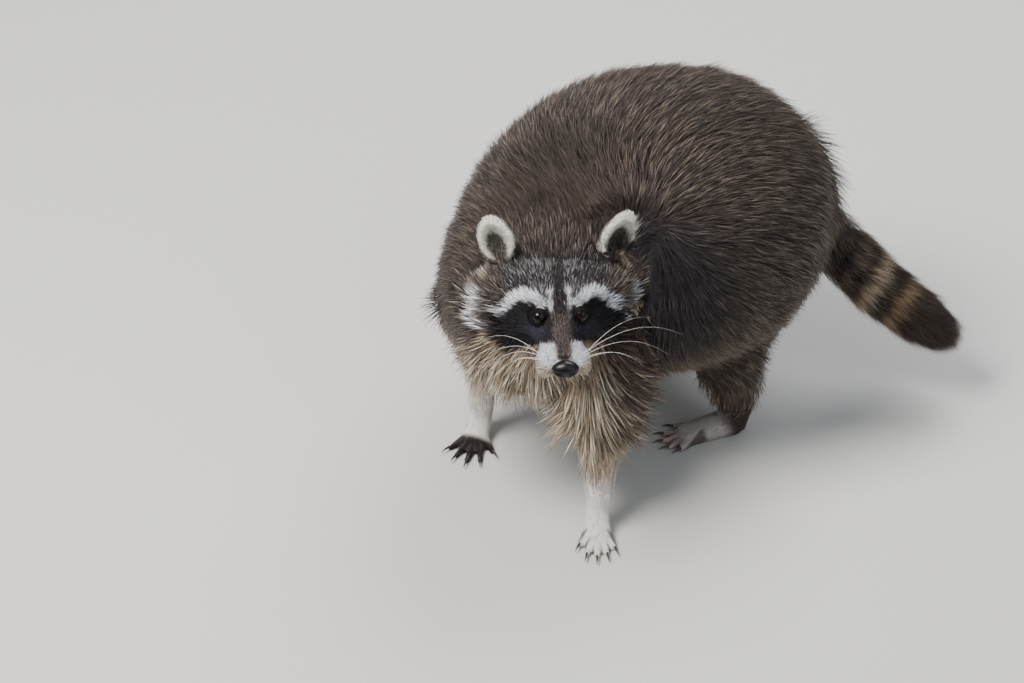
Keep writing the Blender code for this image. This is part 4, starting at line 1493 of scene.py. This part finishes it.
def hair_material():
    """The coat's material."""
    made = plain_material("raccoon coat", (0.5, 0.5, 0.5), 0.52, Specular_IOR_Level=0.35)
    tree = made.node_tree
    along = shader_attribute(tree, "along")["Fac"]
    chance = shader_attribute(tree, "chance")["Fac"]
    hair, tips = shader_attribute(tree, "hair")["Color"], shader_attribute(tree, "tips")["Color"]
    has_tip = number_node(tree, "LESS_THAN", chance, shader_attribute(tree, "tipped")["Fac"])
    tip = map_range(tree, along, TIP_STARTS, TIP_FULL, 0.0, 1.0)
    colour = mix_node(tree, "MIX", number_node(tree, "MULTIPLY", has_tip, tip), hair, tips)
    own = number_node(tree, "FRACT", number_node(tree, "MULTIPLY", chance, RESHUFFLE), 0.0)
    own = map_range(tree, own, 0.0, 1.0, DARKEST_LOCK, LIGHTEST_LOCK)
    root = map_range(tree, along, 0.0, ROOT_REACH, ROOT_SHADE, 1.0)
    shade = number_node(tree, "MULTIPLY", root, own)
    grey = tree.nodes.new("ShaderNodeCombineColor")
    link_all(tree, *[(shade, socket) for socket in list(grey.inputs)[:3]])
    tinted = mix_node(tree, "MULTIPLY", 1.0, colour, grey.outputs[0])
    tree.links.new(tinted, tree.nodes["Principled BSDF"].inputs["Base Color"])
    return made


coat_material = hair_material()
skin_material = bumpy(attribute_material("skin", "hair", 0.8, Specular_IOR_Level=0.2), 900, 0.5, 0.0004)
skin.data.materials.append(skin_material)
smooth_faces(skin.data)
print("coat material of", len(coat_material.node_tree.nodes), "nodes")

# %% [markdown]
# A furrier counts a coat in panels, and so does this model: no piece may be too heavy to
# handle. Each panel says what solids its skin is under, which of their points are meant, the
# kind of lock, how many to plant, and the seed of its scatter.
# %% Panels of the coat
body_way = unit(np.array(middle("rump") - middle("neck")) * (1, 1, 0))
body_side = np.cross(body_way, (0, 0, 1.0))
left_of_spine = (surface.points - np.array(middle("belly"))) @ -body_side > 0
behind_face = back > 0.026
throat = (low_front > 0.25) & (height > 0.098) & (surface.points[:, 1] < 0.02)
throat &= (in_head(surface.points)[:, 0] < 0.050) | (height < 0.165)
HEAD_PARTS = ("head", "muzzle", "jaw")
FORELEGS, HIND_LEGS = [
    tuple(f"{end}_{side}_{part_name}" for part_name in ("leg", "paw") for side in ("left", "right"))
    for end in ("fore", "hind")
]
COAT = {
    "coat_face": (HEAD_PARTS, ~behind_face, "short", 15800, 11),
    "coat_crown": (HEAD_PARTS, behind_face, "middle", 6300, 12),
    "coat_ears": (("ear_left", "ear_right"), None, "short", 4200, 13),
    "coat_neck": (("neck",), None, "long", 11000, 14),
    "coat_chest_left": (("chest",), left_of_spine, "long", 12300, 15),
    "coat_chest_right": (("chest",), ~left_of_spine, "long", 12300, 16),
    "coat_belly_left": (("belly",), left_of_spine, "long", 13300, 17),
    "coat_belly_right": (("belly",), ~left_of_spine, "long", 12400, 18),
    "coat_rump_left": (("rump",), left_of_spine, "long", 13300, 19),
    "coat_rump_right": (("rump",), ~left_of_spine, "long", 12400, 20),
    "coat_tail": (TAIL, None, "long", 9400, 21),
    "coat_forelegs": (FORELEGS, None, "middle", 6500, 22),
    "coat_hind_legs": (HIND_LEGS, None, "middle", 5700, 23),
    "coat_throat_locks": (("neck", "chest", *FORELEGS[:2], "jaw"), throat, "wet", 3000, 24, 1.5),
}
print(len(COAT), "panels of", sum(panel[3] for panel in COAT.values()), "locks")

# %% [markdown]
# Each panel's skin is cut out and unwrapped on its own shape, because an unwrap from one side
# would squeeze together the hairs of the far side. Smart Project cuts a shape where it bends
# by more than an angle, which suits a hide: flat islands with a small margin between them.
# %% Cut out and unwrap a panel
UNWRAP_ANGLE = math.radians(66)
UNWRAP_MARGIN = 0.004


def skin_patch(name, nodes, where):
    """The faces of the skin on these nodes, as an object with the skin's values, unwrapped."""
    wanted = np.isin(part, [FLESH.index(node) for node in nodes])
    if where is not None:
        wanted &= where
    patch = bmesh.new()
    patch.from_mesh(skin.data)
    patch.faces.ensure_lookup_table()
    away = [face for face in patch.faces if not wanted[face.verts[0].index]]
    bmesh.ops.delete(patch, geom=away, context="FACES")
    mesh = bpy.data.meshes.new(name)
    patch.to_mesh(mesh)
    patch.free()
    thing = show(mesh, name)
    bpy.ops.object.select_all(action="DESELECT")
    thing.select_set(True)
    bpy.context.view_layer.objects.active = thing
    mesh.uv_layers.new(name="root_uv")
    bpy.ops.object.mode_set(mode="EDIT")
    bpy.ops.mesh.select_all(action="SELECT")
    bpy.ops.uv.smart_project(angle_limit=UNWRAP_ANGLE, island_margin=UNWRAP_MARGIN)
    bpy.ops.object.mode_set(mode="OBJECT")
    return thing


print("a panel is unwrapped in islands", UNWRAP_MARGIN, "apart")

# %% [markdown]
# The number of locks of a panel is settled by what it may weigh, so the density that the tree
# needs is found from it: locks over the sum of area times crowding. Each finished piece is
# made a plain mesh and keeps only what the coat's material and the bake read.
# %% Plant the coat
FLOOR_GAP = 0.0003


def need_of(mesh):
    """The sum over a patch of its area times how crowded its hairs stand."""
    crowded = np.zeros(len(mesh.vertices), np.float32)
    mesh.attributes["crowd"].data.foreach_get("value", crowded)
    areas = read(mesh, "polygons", "area", 1)[:, 0]
    corners = read(mesh, "loops", "vertex_index", 1).reshape(-1, 3)
    return float((areas * crowded[corners].mean(1)).sum())


def plant(name, nodes, where, kind, locks, seed, stretch=1.0):
    """One piece of the coat."""
    thing = skin_patch(name, nodes, where)
    values = {
        "Locks per area": locks / need_of(thing.data), "Seed": seed, "Length": stretch,
        "Locks": lock_sets[kind], "Coat": coat_material,
    }
    modifier = thing.modifiers.new("plant", "NODES")
    modifier.node_group = planting
    for socket in planting.interface.items_tree:
        if socket.in_out == "INPUT" and socket.name in values:
            modifier[socket.identifier] = values[socket.name]
    apply_modifiers(thing)
    mesh = thing.data
    points = read(mesh, "vertices", "co", 3)
    points[:, 2] = np.maximum(points[:, 2], FLOOR_GAP)
    move_points(mesh, points)
    for spare in ("root_uv", "patch", "crowd", "long", "tall", "lie"):
        if spare in mesh.attributes:
            mesh.attributes.remove(mesh.attributes[spare])
    print(name, len(mesh.polygons), "faces")
    return thing


coat = [plant(name, *values) for name, values in COAT.items()]
print("coat of", sum(len(piece.data.polygons) for piece in coat), "faces in", len(coat), "pieces")

# %% [markdown]
# Whiskers are long stiff white hairs that spring from the pads beside the nose and arch out
# and down by their own weight. A Curve object with a bevel would do, but the rings that made
# the claws make tubes as well. Each runs through its root, the way that it sets out and the
# fall of its tip, and tapers to almost nothing.
# %% Whiskers
WHISKER_ROUND, WHISKER_RINGS = 4, 12
WHISKER_RADIUS = 0.27
WHISKER_ARCH, WHISKER_TAPER = 26.0, 0.85
WHISKERS = (
    ((13, -43, -18), (92, 52, 14), 44),
    ((15, -41, -20), (84, 40, 0), 38),
    ((17, -38, -22), (70, 58, 18), 22),
    ((14, -44, -21), (62, 22, -6), 24),
    ((17, -41, -24), (54, 30, -16), 16),
)


def whisker_points(root, reach, fall):
    """The rings, root end and tip of one whisker, in millimetres of the head's frame."""
    shares = np.linspace(0, 1, WHISKER_RINGS)[:, None]
    rise = WHISKER_ARCH * shares * (1 - shares) - fall * shares**2.4
    line = root + reach * shares + np.array((0, 0, 1.0)) * rise
    rings = []
    for centre, ahead, share in zip(line, unit(np.gradient(line, axis=0)), shares[:, 0]):
        side = unit(np.cross(ahead, (0, 0, 1.0)))
        radius = WHISKER_RADIUS * (1 - WHISKER_TAPER * share)
        rings.append(centre + radius * circle(WHISKER_ROUND, side, np.cross(side, ahead)))
    return np.concatenate(rings + [line[:1], line[-1:] + (line[-1:] - line[-2:-1]) * 0.1])


whisker_tubes = []
for side in (-1, 1):
    for number, (root, reach, fall) in enumerate(WHISKERS):
        flip = np.array((side, 1, 1))
        vary = (0.90 + 0.16 * side) * (1 + 0.07 * math.sin(5.1 * number + side))
        rows = whisker_points(root * flip, reach * flip * vary, fall) / 1000
        whisker_tubes.append(rows @ HEAD_TURN.T + np.array(head_origin))
whiskers = many_tubes("whiskers", whisker_tubes, WHISKER_RINGS, WHISKER_ROUND)
outwards = bmesh.new()
outwards.from_mesh(whiskers.data)
bmesh.ops.recalc_face_normals(outwards, faces=outwards.faces)
outwards.to_mesh(whiskers.data)
outwards.free()
whiskers.data.materials.append(plain_material("whisker", tuple(ink(236, 234, 230)), 0.35))
coat.append(whiskers)
print("whiskers of", len(whiskers.data.polygons), "faces")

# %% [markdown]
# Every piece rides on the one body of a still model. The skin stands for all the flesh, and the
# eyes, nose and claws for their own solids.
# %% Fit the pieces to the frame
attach(skin, "root")
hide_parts(*FLESH)
for piece in coat:
    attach(piece, "root")
for piece, slot, nodes in finished.values():
    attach(piece, "root")
    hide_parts(*nodes)
print(1 + len(coat) + len(finished), "pieces fitted")
